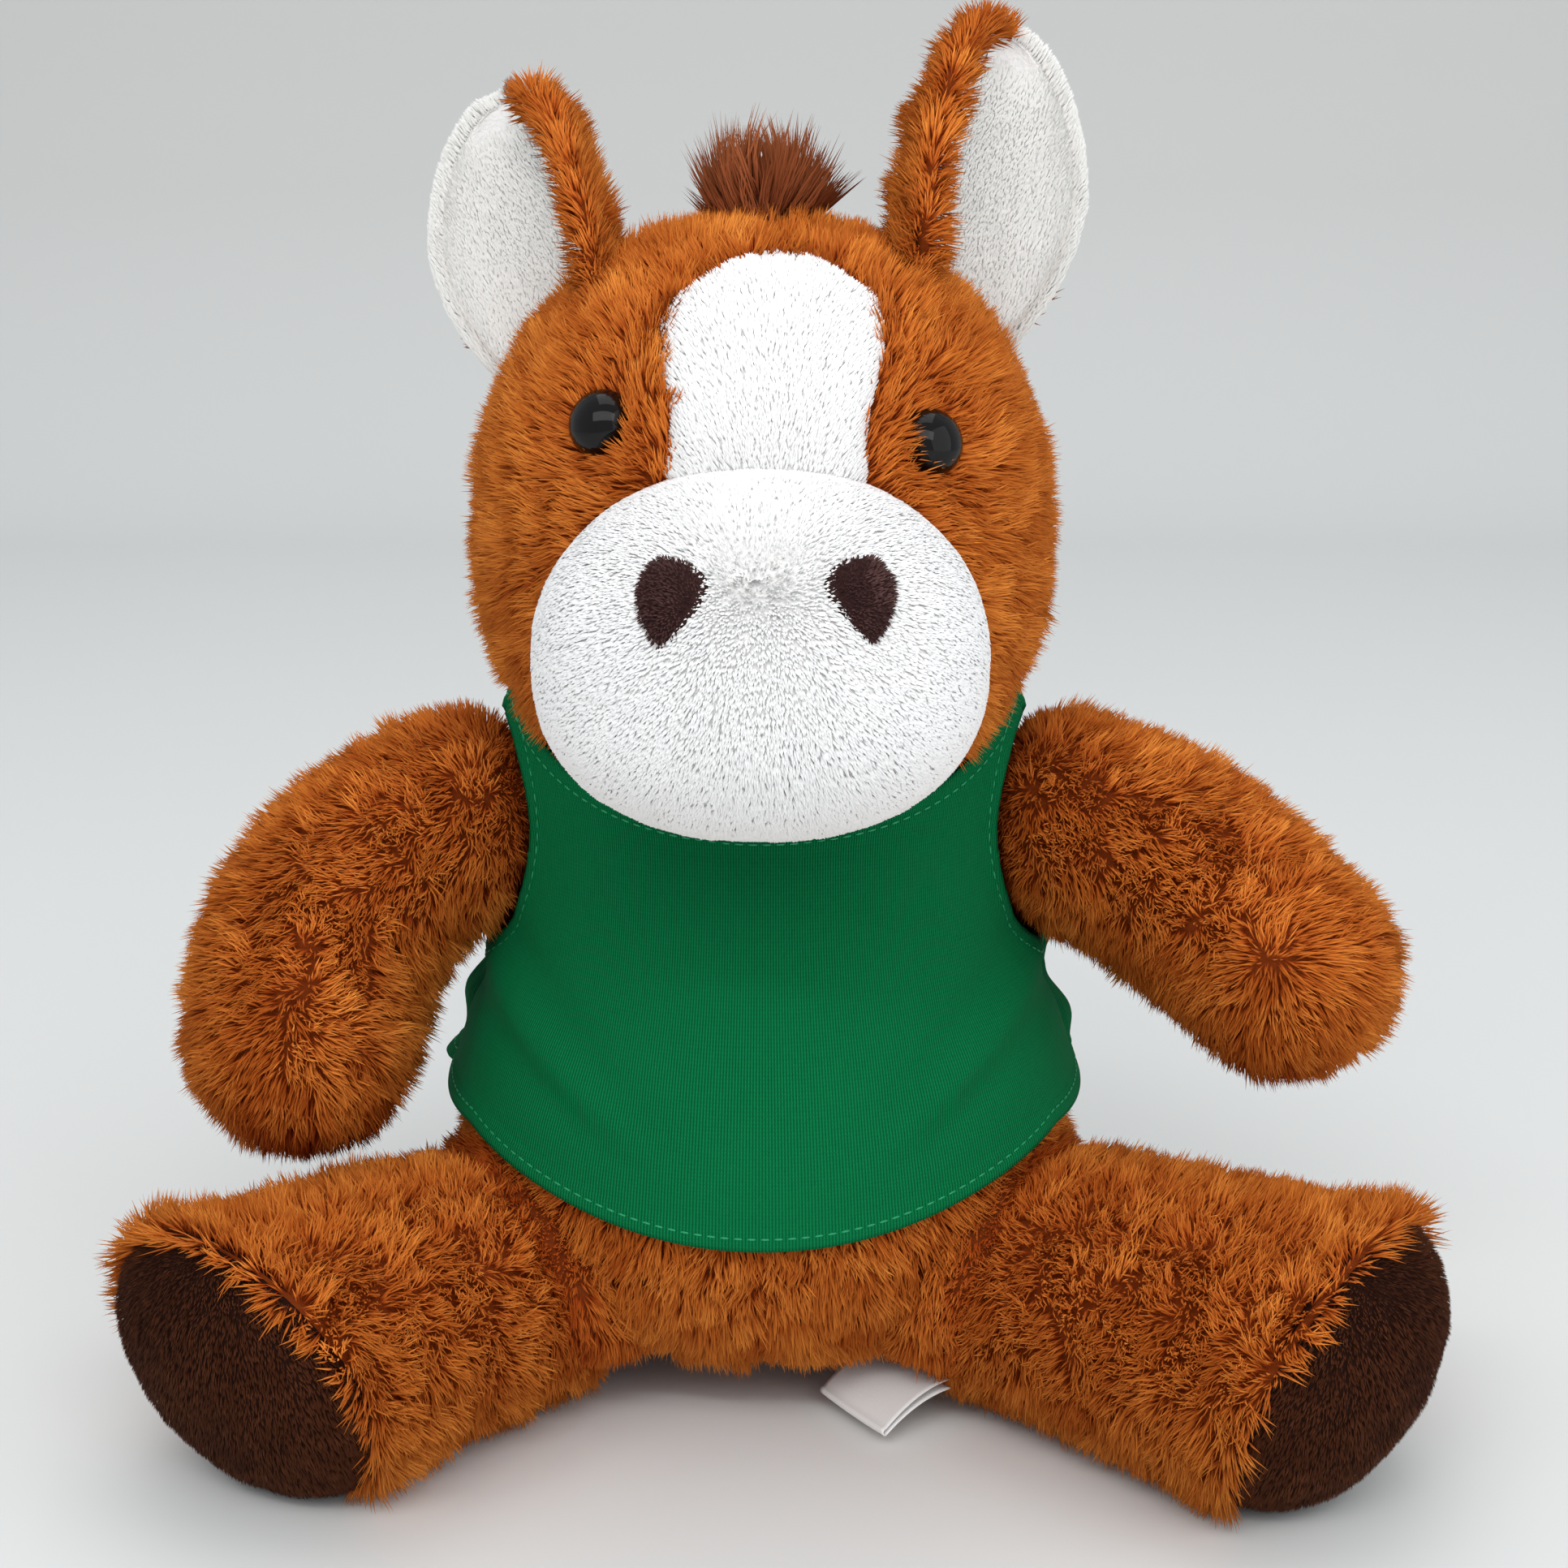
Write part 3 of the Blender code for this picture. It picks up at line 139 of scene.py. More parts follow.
def addPiece(name, body, material, points, faces, uv=None, normals=None):
    # Points and faces as a mesh that moves with its body
    mesh = bpy.data.meshes.new(name)
    mesh.vertices.add(len(points))
    mesh.vertices.foreach_set("co", (np.asarray(points) * mm).astype(np.float32).ravel())
    mesh.loops.add(faces.size)
    mesh.loops.foreach_set("vertex_index", faces.astype(np.int32).ravel())
    mesh.polygons.add(len(faces))
    mesh.polygons.foreach_set("loop_start", np.arange(len(faces), dtype=np.int32) * faces.shape[1])
    if uv is not None:
        layer = mesh.uv_layers.new(name=uv[0])
        layer.data.foreach_set("uv", uv[1][faces].astype(np.float32).ravel())
    mesh.update(calc_edges=True)
    mesh.validate()
    mesh.shade_smooth()
    if normals is not None:
        mesh.normals_split_custom_set_from_vertices(normals.astype(np.float32))
    mesh.materials.append(material)
    piece = bpy.data.objects.new(name, mesh)
    scene.collection.objects.link(piece)
    if body:
        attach(piece, body)
    return piece


# The forms of the toy, as its covers' pile envelopes

torsoSize = {"tall": 136.5, "halfWidth": 56.0, "halfDepth": 56.0, "back": -7.0, "sunk": 0.5, "top": 136.0}
# Shares of the height, half width, half depth and the middle's place, from the seat to the neck
torsoTable = (
    (0.000, 0.50, 0.42, -0.50),
    (0.035, 0.76, 0.67, -0.10),
    (0.110, 0.90, 0.85, 0.50),
    (0.210, 0.97, 0.96, 0.90),
    (0.340, 1.00, 1.00, 1.00),
    (0.480, 0.93, 0.94, 0.86),
    (0.620, 0.82, 0.83, 0.57),
    (0.740, 0.79, 0.76, 0.29),
    (0.850, 0.82, 0.66, 0.00),
    (0.925, 0.76, 0.54, -0.20),
    (0.975, 0.55, 0.38, -0.30),
)
torsoRows = smoothRows(torsoTable, np.linspace(0, 10, 401))
torsoRows *= np.array([torsoSize[key] for key in ("tall", "halfWidth", "halfDepth", "back")])
torsoRows[:, 0] -= torsoSize["sunk"]


def torsoSection(z):
    # Half width, half depth and the middle's y at a height
    return (np.interp(z, torsoRows[:, 0], torsoRows[:, k]) for k in (1, 2, 3))


def torsoLevel(points, grow=0.0):
    # Below 1 inside the torso's ellipse at each point's height, and 9 above its top
    wide, deep, middle = torsoSection(points[:, 2])
    level = (points[:, 0] / (wide + grow)) ** 2 + ((points[:, 1] - middle) / (deep + grow)) ** 2
    return np.where(points[:, 2] > torsoSize["top"] + grow, 9.0, level)


def torsoForm():
    # Ellipses of the table's half widths and depths, one above the other
    row = torsoRows[::8]
    turn = np.linspace(0, 2 * math.pi, 96, endpoint=False)
    rings = np.stack(
        [row[:, 1:2] * np.sin(turn), row[:, 3:4] - row[:, 2:3] * np.cos(turn), row[:, :1] + 0 * turn], 2
    )
    low, high = rings[0].mean(0), rings[-1].mean(0)
    high[2] = torsoSize["top"]
    return lathe(low, rings, high)


headSize = {"radius": 50.0, "crown": 57.0, "crownPower": 2.3}
headHalf = np.array((headSize["radius"], headSize["radius"], headSize["crown"]))


def headRadius(z):
    # The head's sections are circles: a ball below its widest level, a squarer taller crown above
    rise = z - headCentre[2]
    power = headSize["crownPower"]
    crown = np.clip(1 - np.clip(rise / headSize["crown"], 0, 1) ** power, 0, 1) ** (1 / power)
    ball = np.sqrt(np.clip(1 - (rise / headSize["radius"]) ** 2, 0, 1))
    return headSize["radius"] * np.where(rise > 0, crown, ball)


def headForm():
    # Circles of headRadius, spaced by their angle from the poles
    polar = np.linspace(0, math.pi, 66)[1:-1, None]
    turn = np.linspace(0, 2 * math.pi, 112, endpoint=False)[None]
    upper = np.cos(polar) < 0
    power = np.where(upper, headSize["crownPower"], 2.0)
    tall = np.where(upper, headSize["crown"], headSize["radius"])
    wide = headSize["radius"] * np.sin(polar) ** (2 / power)
    rise = -np.sign(np.cos(polar)) * np.abs(np.cos(polar)) ** (2 / power) * tall
    rings = np.stack([wide * np.sin(turn), -wide * np.cos(turn), rise + 0 * turn], 2) + headCentre
    return lathe(headCentre - headSize["radius"] * up, rings, headCentre + headSize["crown"] * up)


muzzleSize = {"half": (35.5, 38.0, 28.5), "power": 2.25, "taper": 0.09}
muzzleHalf = np.array(muzzleSize["half"])


def muzzleForm():
    # A box-like ball: the sum of the three shares, each to the power, is 1. It narrows towards its front
    polar = np.linspace(0, math.pi, 58)[1:-1, None]
    turn = np.linspace(0, 2 * math.pi, 96, endpoint=False)[None]

    def bent(value):
        return np.sign(value) * np.abs(value) ** (2 / muzzleSize["power"])

    wide, y = bent(np.sin(polar)), -bent(np.cos(polar)) + 0 * turn
    x = wide * bent(np.cos(turn)) * (1 - muzzleSize["taper"] * y)
    rings = np.stack([x, y, wide * bent(np.sin(turn))], 2) * muzzleHalf + muzzleCentre
    pole = (0, muzzleHalf[1], 0)
    return lathe(muzzleCentre - pole, rings, muzzleCentre + pole)


def muzzleLevel(points, grow=0.0):
    # Below 1 inside the muzzle
    share = (points - muzzleCentre) / (muzzleHalf + grow)
    share[:, 0] /= 1 - muzzleSize["taper"] * np.clip(share[:, 1], -1, 1)
    return (np.abs(share) ** muzzleSize["power"]).sum(1)


def ringAt(place, normal, radius, turn, reference):
    # A circle round a normal, from two directions square to it
    across = unit(np.cross(normal, reference))
    over = np.cross(across, normal)
    return place + radius * (np.cos(turn)[:, None] * across + np.sin(turn)[:, None] * over)


armSize = {"reach": 45.0, "forward": 22.0, "hang": 36.0, "radius": 22.5}
# Shares of the arm's reach out, forward and down, and of its radius, from the shoulder to the paw
armTables = {
    "right": ((0, 0, 0, 0.93), (0.26, 0.25, 0.17, 0.96), (0.50, 0.58, 0.52, 1.00), (0.58, 0.98, 0.92, 0.95)),
    "left": ((0, 0, 0, 0.93), (0.39, 0.36, 0.19, 0.95), (0.81, 0.88, 0.59, 0.91)),
}


def limbForm(rows):
    # A stuffed tube along centre places with radii, closed by a ball at each end
    centre, radius = rows[:, :3], rows[:, 3]
    tangent = unit(np.gradient(centre, axis=0))
    turn = np.linspace(0, 2 * math.pi, 56, endpoint=False)
    reference = np.array((0.0, -1.0, 0.0)) if abs(tangent[0, 1]) < 0.9 else up
    rings = []
    for angle in np.linspace(0.12, math.pi / 2, 12)[:-1]:
        place = centre[0] - tangent[0] * radius[0] * math.cos(angle)
        rings.append(ringAt(place, tangent[0], radius[0] * math.sin(angle), turn, reference))
    for place, along, wide in zip(centre, tangent, radius):
        rings.append(ringAt(place, along, wide, turn, reference))
    for angle in np.linspace(math.pi / 2, 0.12, 12)[1:]:
        place = centre[-1] + tangent[-1] * radius[-1] * math.cos(angle)
        rings.append(ringAt(place, tangent[-1], radius[-1] * math.sin(angle), turn, reference))
    first = centre[0] - tangent[0] * radius[0]
    last = centre[-1] + tangent[-1] * radius[-1]
    return lathe(first, np.array(rings), last), centre, tangent, radius


def armForm(side):
    table = smoothRows(armTables[side], np.linspace(0, len(armTables[side]) - 1, 30))
    reach, forward, hang, radius = armSize.values()
    rows = table * np.array((sides[side] * reach, -forward, -hang, radius))
    rows[:, :3] += shoulders[side]
    return limbForm(rows)


legSize = {
    "hip": (40.0, -29.0, 24.0), "length": 58.0, "rootRadius": 24.5, "cuffRadius": 31.0, "footRadius": 26.5,
    "dome": 16.5, "lip": 3.0, "droop": 23.0,
}
# How far each leg and its sole turn outwards, and its shares of length and dome
legTurns = {"right": (49.0, 38.0, 1.00, 1.00), "left": (53.0, 56.0, 1.10, 1.20)}


def legAxes(side):
    # The hip, the leg's way, the sole's middle and way, and its dome's height. The sole stands on the floor
    sign = sides[side]
    legOut, soleOut, longer, domed = legTurns[side]
    out, turn, down = math.radians(legOut), math.radians(soleOut), math.radians(legSize["droop"])
    hip = np.array((sign, 1, 1)) * legSize["hip"]
    along = np.array((sign * math.sin(out), -math.cos(out), 0.0))
    level = math.cos(down)
    facing = np.array((sign * math.sin(turn) * level, -math.cos(turn) * level, -math.sin(down)))
    dome = legSize["dome"] * domed
    sole = hip + along * legSize["length"] * longer
    sole[2] = math.hypot(legSize["footRadius"] * level, dome * math.sin(down)) - 0.5
    return hip, along, sole, facing, dome


def legForm(side, endRadius):
    # A ball at the hip, a tube that turns to the sole's facing, and the sole's dome
    hip, along, sole, facing, dome = legAxes(side)
    turn = np.linspace(0, 2 * math.pi, 64, endpoint=False)
    rootRadius, top = legSize["rootRadius"], dome - legSize["lip"]
    rings = [
        ringAt(hip - along * rootRadius * math.cos(angle), along, rootRadius * math.sin(angle), turn, up)
        for angle in np.linspace(0.12, math.pi / 2, 12)[:-1]
    ]
    centres, tangents, radii = [], [], []
    for t in np.linspace(0, 1, 26):
        eased = t * t * (3 - 2 * t)
        centres.append(hip + (sole - hip) * t)
        tangents.append(unit(along + (facing - along) * eased))
        radii.append(rootRadius + (endRadius - rootRadius) * t**1.7)
        rings.append(ringAt(centres[-1], tangents[-1], radii[-1], turn, up))
    for angle in np.linspace(0, math.pi / 2 - 0.12, 10)[1:]:
        place = sole + facing * top * math.sin(angle)
        rings.append(ringAt(place, facing, endRadius * math.cos(angle), turn, up))
    form = lathe(hip - along * rootRadius, np.array(rings), sole + facing * top)
    return form, np.array(centres), np.array(tangents), np.array(radii)


def tubeGap(points, centres, radii):
    # How far points are outside a tube, from its nearest centre place
    away = np.linalg.norm(points[:, None] - centres[None], axis=2) - radii
    return away.min(1)


def alongTube(points, centres, tangents):
    # A tube's own way, at its nearest centre place
    nearest = np.linalg.norm(points[:, None] - centres[None], axis=2).argmin(1)
    return tangents[nearest]


# Shaders


class Val:
    # A shader socket that takes arithmetic

    def __init__(self, shade, socket):
        self.shade, self.socket = shade, socket

    def math(self, operation, *others, clamp=False):
        return self.shade.add("ShaderNodeMath", {"operation": operation, "use_clamp": clamp}, (self, *others))

    def __add__(self, other):
        return self.math("ADD", other)

    def __sub__(self, other):
        return self.math("SUBTRACT", other)

    def __mul__(self, other):
        return self.math("MULTIPLY", other)

    def __pow__(self, other):
        return self.math("POWER", other)

    def __rsub__(self, other):
        return self.shade.add("ShaderNodeMath", {"operation": "SUBTRACT"}, (other, self))

    __radd__ = __add__
    __rmul__ = __mul__


class Shade:
    # A material with one Principled shader, and calls that add nodes to it

    def __init__(self, name, **constants):
        self.material = bpy.data.materials.new(name)
        self.material.use_nodes = True
        self.tree = self.material.node_tree
        self.principled = self.tree.nodes["Principled BSDF"]
        for socket, value in constants.items():
            self.principled.inputs[socket.replace("_", " ")].default_value = value

    def link(self, value, socket):
        if isinstance(value, Val):
            self.tree.links.new(value.socket, socket)
        elif value is not None:
            isColour = np.ndim(value) and len(socket.default_value) == 4
            socket.default_value = (*value, 1.0) if isColour else value

    def add(self, kind, settings=None, inputs=(), output=0):
        node = self.tree.nodes.new(kind)
        for key, value in (settings or {}).items():
            setattr(node, key, value)
        pairs = inputs.items() if isinstance(inputs, dict) else enumerate(inputs)
        for key, value in pairs:
            self.link(value, node.inputs[key])
        return Val(self, node.outputs[output])

    def mix(self, share, low, high, blend="MIX"):
        settings = {"data_type": "RGBA", "blend_type": blend}
        return self.add("ShaderNodeMix", settings, {0: share, 6: low, 7: high}, output=2)

    def split(self, vector):
        node = self.tree.nodes.new("ShaderNodeSeparateXYZ")
        self.tree.links.new(vector.socket, node.inputs[0])
        return [Val(self, socket) for socket in node.outputs]

    def objectPlace(self):
        return self.add("ShaderNodeTexCoord", output=3)

    def noise(self, vector, scale, detail=2.0, output=0):
        return self.add(
            "ShaderNodeTexNoise", None, {"Vector": vector, "Scale": scale, "Detail": detail}, output=output
        )

    def bump(self, height, strength, distance):
        inputs = {"Strength": strength, "Distance": distance, "Height": height}
        self.set("Normal", self.add("ShaderNodeBump", None, inputs))

    def set(self, socket, value):
        self.link(value, self.principled.inputs[socket])


def pileMaterial(name, root, tip, warm, roughness=0.85, curve=1.3, spread=0.5, specular=0.08):
    # Each strand runs up the texture from its root, in the column of its own tone; its colour goes from a
    # darker root colour, painted shade deep in the pile, to its tip colour
    shade = Shade(name, Roughness=roughness, Specular_IOR_Level=specular)
    tone, along, _ = shade.split(shade.add("ShaderNodeUVMap", {"uv_map": "OFBake"}))
    rise = along**curve
    light = shade.mix(tone, tip, warm)
    colour = shade.mix(rise, root, light)
    level = tone * spread + (1.02 - spread / 2)
    grey = shade.add("ShaderNodeCombineColor", None, (level, level, level))
    shade.set("Base Color", shade.mix(1.0, colour, grey, "MULTIPLY"))
    shade.set("Roughness", roughness - rise * 0.12)
    return shade.material


def backingMaterial(name, colour, dark):
    # The woven backing that the pile grows from, seen only deep between the tufts; where it is darker than its
    # pile, that is painted shade
    shade = Shade(name, Roughness=0.95, Specular_IOR_Level=0.1)
    place = shade.objectPlace()
    patches = shade.noise(place, 260.0, 3.0)
    shade.set("Base Color", shade.mix(patches, dark, colour))
    shade.bump(shade.noise(place, 1400.0, 2.0), 0.5, 0.0006)
    return shade.material


# Each pile's first colour is its root's, darker than its tip: painted shade deep in the pile
furBrown = pileMaterial(
    "FurBrown", (0.35, 0.040, 0.003), (0.86, 0.214, 0.024), (0.98, 0.37, 0.062), spread=0.42
)
furDark = pileMaterial(
    "FurDark", (0.16, 0.034, 0.010), (0.41, 0.112, 0.036), (0.52, 0.170, 0.062), spread=0.34
)
pileWhite = pileMaterial(
    "PileWhite", (0.93, 0.925, 0.915), (0.95, 0.95, 0.945), (0.96, 0.96, 0.96), curve=0.8, spread=0.05
)
# The ears' white pile is a greyer, warmer copy of the white pile: painted shade in the ears
pileEarShaded = pileMaterial(
    "PileEarShaded", (0.78, 0.77, 0.73), (0.88, 0.875, 0.84), (0.91, 0.905, 0.88), curve=0.8, spread=0.06
)
pileHoof = pileMaterial(
    "PileHoof", (0.038, 0.010, 0.003), (0.090, 0.025, 0.009), (0.14, 0.046, 0.019), spread=0.36
)
pileNostril = pileMaterial(
    "PileNostril", (0.030, 0.013, 0.012), (0.085, 0.037, 0.034), (0.13, 0.065, 0.06), spread=0.3
)
# Brown, dark, hoof and nostril backings are darker than their pile: painted shade deep between the tufts
backBrown = backingMaterial("BackingBrown", (0.26, 0.052, 0.008), (0.14, 0.026, 0.004))
backDark = backingMaterial("BackingDark", (0.08, 0.020, 0.010), (0.03, 0.008, 0.004))
backWhite = backingMaterial("BackingWhite", (0.94, 0.935, 0.92), (0.88, 0.87, 0.85))
backHoof = backingMaterial("BackingHoof", (0.035, 0.011, 0.006), (0.016, 0.005, 0.003))
backNostril = backingMaterial("BackingNostril", (0.050, 0.022, 0.020), (0.025, 0.011, 0.010))


# Pile: strands in tufts, each strand in the column of its own tone in the texture

mostTriangles = 198000  # in one piece
toneColumns = 64


def hashed(cells, seed):
    # Three even numbers from 0 to 1 for each cell of a lattice
    key = (cells * np.array((73856093, 19349663, 83492791))).sum(1) + seed * 2654435761
    made = []
    for step in (1274126177, 2246822519, 3266489917):
        mixed = (key ^ (key >> 13)) * step & 0xFFFFFFFF
        mixed = (mixed ^ (mixed >> 15)) * 668265263 & 0xFFFFFFFF
        made.append((mixed ^ (mixed >> 16)) / 4294967296.0)
    return np.stack(made, 1)


def tufts(points, size, seed):
    # The nearest of the tuft centres, one in each cell of a lattice, and that tuft's own numbers
    cell = np.floor(points / size).astype(np.int64)
    best = np.full(len(points), np.inf)
    centre, mark = np.zeros_like(points), np.zeros_like(points)
    for step in np.ndindex(3, 3, 3):
        near = cell + np.array(step) - 1
        place = (near + hashed(near, seed)) * size
        gap = ((points - place) ** 2).sum(1)
        closer = gap < best
        best[closer] = gap[closer]
        centre[closer] = place[closer]
        mark[closer] = hashed(near[closer], seed + 7)
    return centre, mark


def scattered(surface, perSquare, rng):
    # Places spread evenly over a surface by its area, with their normals
    points, faces, normals = surface
    area = np.linalg.norm(faceCross(points, faces), axis=1) / 2
    count = int(area.sum() * perSquare)
    at = (np.arange(count) + rng.random(count)) / count * area.sum()
    face = faces[np.minimum(np.searchsorted(np.cumsum(area), at), len(faces) - 1)]
    a, b = rng.random((2, count))
    over = a + b > 1
    a[over], b[over] = 1 - a[over], 1 - b[over]
    share = np.stack([1 - a - b, a, b], 1)[..., None]
    return (points[face] * share).sum(1), unit((normals[face] * share).sum(1))


def tangential(vectors, normals):
    # What is left of each vector along the surface
    return vectors - normals * (vectors * normals).sum(1, keepdims=True)


def pile(name, body, material, surface, look, comb, keep=None, longer=None, seed=1):
    # Strands from a skin: each stands along its normal, leaned by the comb and gathered into two sizes of tuft
    rng = np.random.default_rng(seed)
    root, normal = scattered(surface, look["perSquare"], rng)
    if keep is not None:
        kept = keep(root)
        root, normal = root[kept], normal[kept]
    count = len(root)
    wide, wideMark = tufts(root, look["tuft"], seed)
    fine, fineMark = tufts(root, look["lock"], seed + 50)
    flow = tangential(comb(root, normal), normal)
    flow /= np.maximum(np.linalg.norm(flow, axis=1, keepdims=True) / look.get("most", 1.0), 1.0)
    sway = unit(tangential(wideMark - 0.5, normal))
    swayFine = unit(tangential(fineMark - 0.5, normal))
    stray = rng.normal(size=(count, 3))
    way = normal + flow * look["lean"] + sway * look["sway"] + swayFine * look["sway"] * 0.6
    way = unit(way + stray * look["stray"])
    share = 1 - look["vary"] * rng.random(count)
    share *= 0.78 + 0.44 * wideMark[:, 0] * fineMark[:, 1] ** 0.5
    length = look["length"] * share
    if longer is not None:
        length = length * longer(root)
    toWide, toFine = look["gather"]
    gather = tangential(wide - root, normal) * toWide + tangential(fine - root, normal) * toFine
    tip = root + way * length[:, None] + gather
    tip[:, 2] = np.maximum(tip[:, 2], 0.3)
    span = unit(tip - root)
    across = unit(np.cross(span, normal + stray * 0.18))
    half = look["width"] / 2 * (0.75 + 0.5 * rng.random(count))[:, None]
    shine = look["shine"]
    facing = unit(normal + way * shine)
    if look.get("bent"):
        # Pointed at both ends, round and bent at its middle
        bent = unit(normal + flow * look["lean"] * 0.7 + sway * look["sway"] * 0.6)
        middle = root + bent * (length * 0.48)[:, None] + gather * 0.35
        over = np.cross(span, across)
        turn = np.arange(3) * 2 * math.pi / 3
        ring = np.cos(turn)[:, None] * across[:, None] + np.sin(turn)[:, None] * over[:, None]
        points = np.concatenate([root[:, None], middle[:, None] + ring * half[:, None], tip[:, None]], 1)
        around = [facing + ring[:, k] * shine for k in range(3)]
        shading = np.stack([normal, *around, facing + way * shine], 1)
        one = np.array(((1, 2, 4), (2, 3, 4), (3, 1, 4), (2, 1, 0), (3, 2, 0), (1, 3, 0)))
        spreadU, rises = (0.0, -0.35, 0.0, 0.35, 0.0), (0.02, 0.50, 0.50, 0.50, 0.98)
    else:
        # A sliver with four corners: pointed at both ends, flat and widest at its middle
        middle = (root + tip) / 2
        middle = middle + np.cross(across, span) * np.minimum(half * 1.4, length[:, None] * 0.05)
        points = np.stack([root, middle - across * half, middle + across * half, tip], 1)
        turned = across * shine * 0.6
        shading = np.stack([normal, facing - turned, facing + turned, facing + way * shine * 0.5], 1)
        one = np.array(((0, 2, 1), (3, 1, 2), (0, 1, 3), (0, 3, 2)))
        spreadU, rises = (0.0, -0.35, 0.35, 0.0), (0.02, 0.55, 0.55, 0.98)
    corners, sidesOf = len(rises), len(one)
    points = points.reshape(-1, 3)
    points[:, 2] = np.maximum(points[:, 2], 0.12)
    shading = unit(shading).reshape(-1, 3)
    faces = (np.arange(count)[:, None, None] * corners + one).reshape(-1, 3)
    # Tone: the tuft's and the lock's own, a little of the strand's own; long strands reach the lightest end,
    # short ones stay nearer the root's painted shade
    tone = 0.5 + 0.55 * (wideMark[:, 2] - 0.5) + 0.45 * (fineMark[:, 2] - 0.5)
    tone = tone + 0.35 * (rng.random(count) - 0.5)
    column = np.floor(np.clip(tone, 0.0, 0.999) * toneColumns)
    across = (column[:, None] + 0.5 + np.array(spreadU)) / toneColumns
    reach = np.clip(length / (look["length"] * 1.05), 0.3, 1.0)
    rise = np.array(rises) * reach[:, None]
    uv = np.stack([across, rise], 2).reshape(-1, 2)
    parts = math.ceil(count / (mostTriangles // sidesOf))
    made = []
    for part in range(parts):
        low, high = part * count // parts, (part + 1) * count // parts
        label = f"{name}_{part + 1}" if parts > 1 else name
        some = slice(low * corners, high * corners)
        own = faces[low * sidesOf : high * sidesOf] - low * corners
        made.append(addPiece(label, body, material, points[some], own, ("OFBake", uv[some]), shading[some]))
    print(f"{name}: {count} strands")
    return made


def padded(name, body, material, surface, fill, replaces, slot):
    # A stuffed skin in place of its solids
    piece = addPiece(name, body, material, surface[0], surface[1])
    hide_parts(*replaces)
    return piece


plushLook = {
    "perSquare": 3.6, "length": 6.4, "width": 0.34, "lean": 0.62, "sway": 0.32, "stray": 0.15, "vary": 0.26,
    "tuft": 5.2, "lock": 1.7, "gather": (0.07, 0.24), "shine": 0.5,
}
velourLook = {
    "perSquare": 5.7, "length": 1.5, "width": 0.47, "lean": 3.40, "sway": 0.12, "stray": 0.08, "vary": 0.14,
    "tuft": 6.0, "lock": 1.6, "gather": (0.01, 0.04), "shine": 0.05,
}

# Head

headLook = {"pileDepth": 3.9, "socketDepth": 2.2, "socketReach": 8.0, "clearEye": 5.9}
eyeLook = {
    "spread": 27.5, "rise": 25.5, "shares": {"right": (0.975, 1.07), "left": (1.03, 0.95)},
    "radius": 5.5, "sunk": 3.1, "rim": 0.9, "dome": 4.3, "base": 0.4, "baseRadius": 5.2,
}


def eyeAxis(side):
    # Where an eye sits on the head, and the way the head faces there
    spreadShare, riseShare = eyeLook["shares"][side]
    spread, rise = spreadShare * eyeLook["spread"], riseShare * eyeLook["rise"]
    radius, crown = headSize["radius"], headSize["crown"]
    ahead = radius * math.sqrt(1 - (spread / radius) ** 2 - (rise / crown) ** 2)
    out = sides[side] * spread
    facing = unit(np.array((out, -ahead, rise * (radius / crown) ** 2)))
    return headCentre + np.array((out, -ahead, rise)), facing


# Shares of the blaze's half width and height, from its top down
blazeTable = (
    (0.00, 1.00), (0.37, 0.965), (0.64, 0.91), (0.88, 0.85), (0.98, 0.78), (1.00, 0.70),
    (0.97, 0.60), (0.87, 0.46), (0.86, 0.34), (0.89, 0.18), (0.89, 0.00),
)
blazeRows = smoothRows(blazeTable, np.linspace(0, 10, 200))[::-1]
blazeLow, blazeHeight, blazeHalf = 159.0, 46.0, 18.0


def blazeWidth(z):
    # Half the blaze's width at a height
    return np.interp((z - blazeLow) / blazeHeight, blazeRows[:, 1], blazeRows[:, 0], right=-0.3) * blazeHalf


def blazeMiddle(z):
    # The blaze leans a little to the horse's left
    return 0.3 + 2.4 * np.clip((z - blazeLow) / blazeHeight, 0, 1)


def dented(surface, place, reach, depth):
    # Pressed in round a place, by a bell curve of the distance from it
    points, faces, normals = surface
    away = np.linalg.norm(points - place, axis=1)
    return shell(points - normals * (depth * np.exp(-((away / reach) ** 2)))[:, None], faces)


headEnvelope = headForm()
for side in sides:
    headEnvelope = dented(headEnvelope, eyeAxis(side)[0], headLook["socketReach"], headLook["socketDepth"])
headSkin = inflated(headEnvelope, -headLook["pileDepth"])
padded("head_skin", "head", backBrown, headSkin, 0.9, ("head_cover", "head_stuffing"), "brown_plush")

eyePlaces = np.array([eyeAxis(side)[0] for side in sides])


def fromEyes(points):
    return np.min(np.linalg.norm(points[:, None] - eyePlaces[None], axis=2), 1)


# The blaze's edge as places on the head, up one side and down the other
edgeZ = blazeLow + blazeHeight * np.concatenate([blazeRows[::6, 1], blazeRows[::-6, 1]])
edgeX = blazeMiddle(edgeZ) + blazeHalf * np.concatenate([blazeRows[::6, 0], -blazeRows[::-6, 0]])
edgeY = headCentre[1] - np.sqrt(np.clip(headRadius(edgeZ) ** 2 - edgeX**2, 0, None))
blazeEdge = np.stack([edgeX, edgeY, edgeZ], 1)


def headComb(points, normals):
    # Outwards from the face's middle line and up over the crown, down the cheeks, and away from each eye
    flow = np.stack([points[:, 0] * 0.8, 0.30 * (points[:, 1] + 60), (points[:, 2] - 163) * 1.3], 1)
    flow = unit(flow)
    # At the blaze's edges it falls a little over the white
    away = np.linalg.norm(points[:, None] - blazeEdge[None], axis=2)
    toMiddle = unit(np.array((2.0, -58.0, 184.0)) - blazeEdge[away.argmin(1)])
    reach = np.where(points[:, 2] > 201, 1.6, 3.0)
    flow += toMiddle * (np.exp(-((np.maximum(away.min(1) - 3.5, 0) / reach) ** 2)) * 1.0)[:, None]
    for eye in eyePlaces:
        away = points - eye
        near = np.exp(-((np.linalg.norm(away, axis=1) / 9.0) ** 2))
        flow = flow + unit(away) * (near * 1.2)[:, None]
    return flow


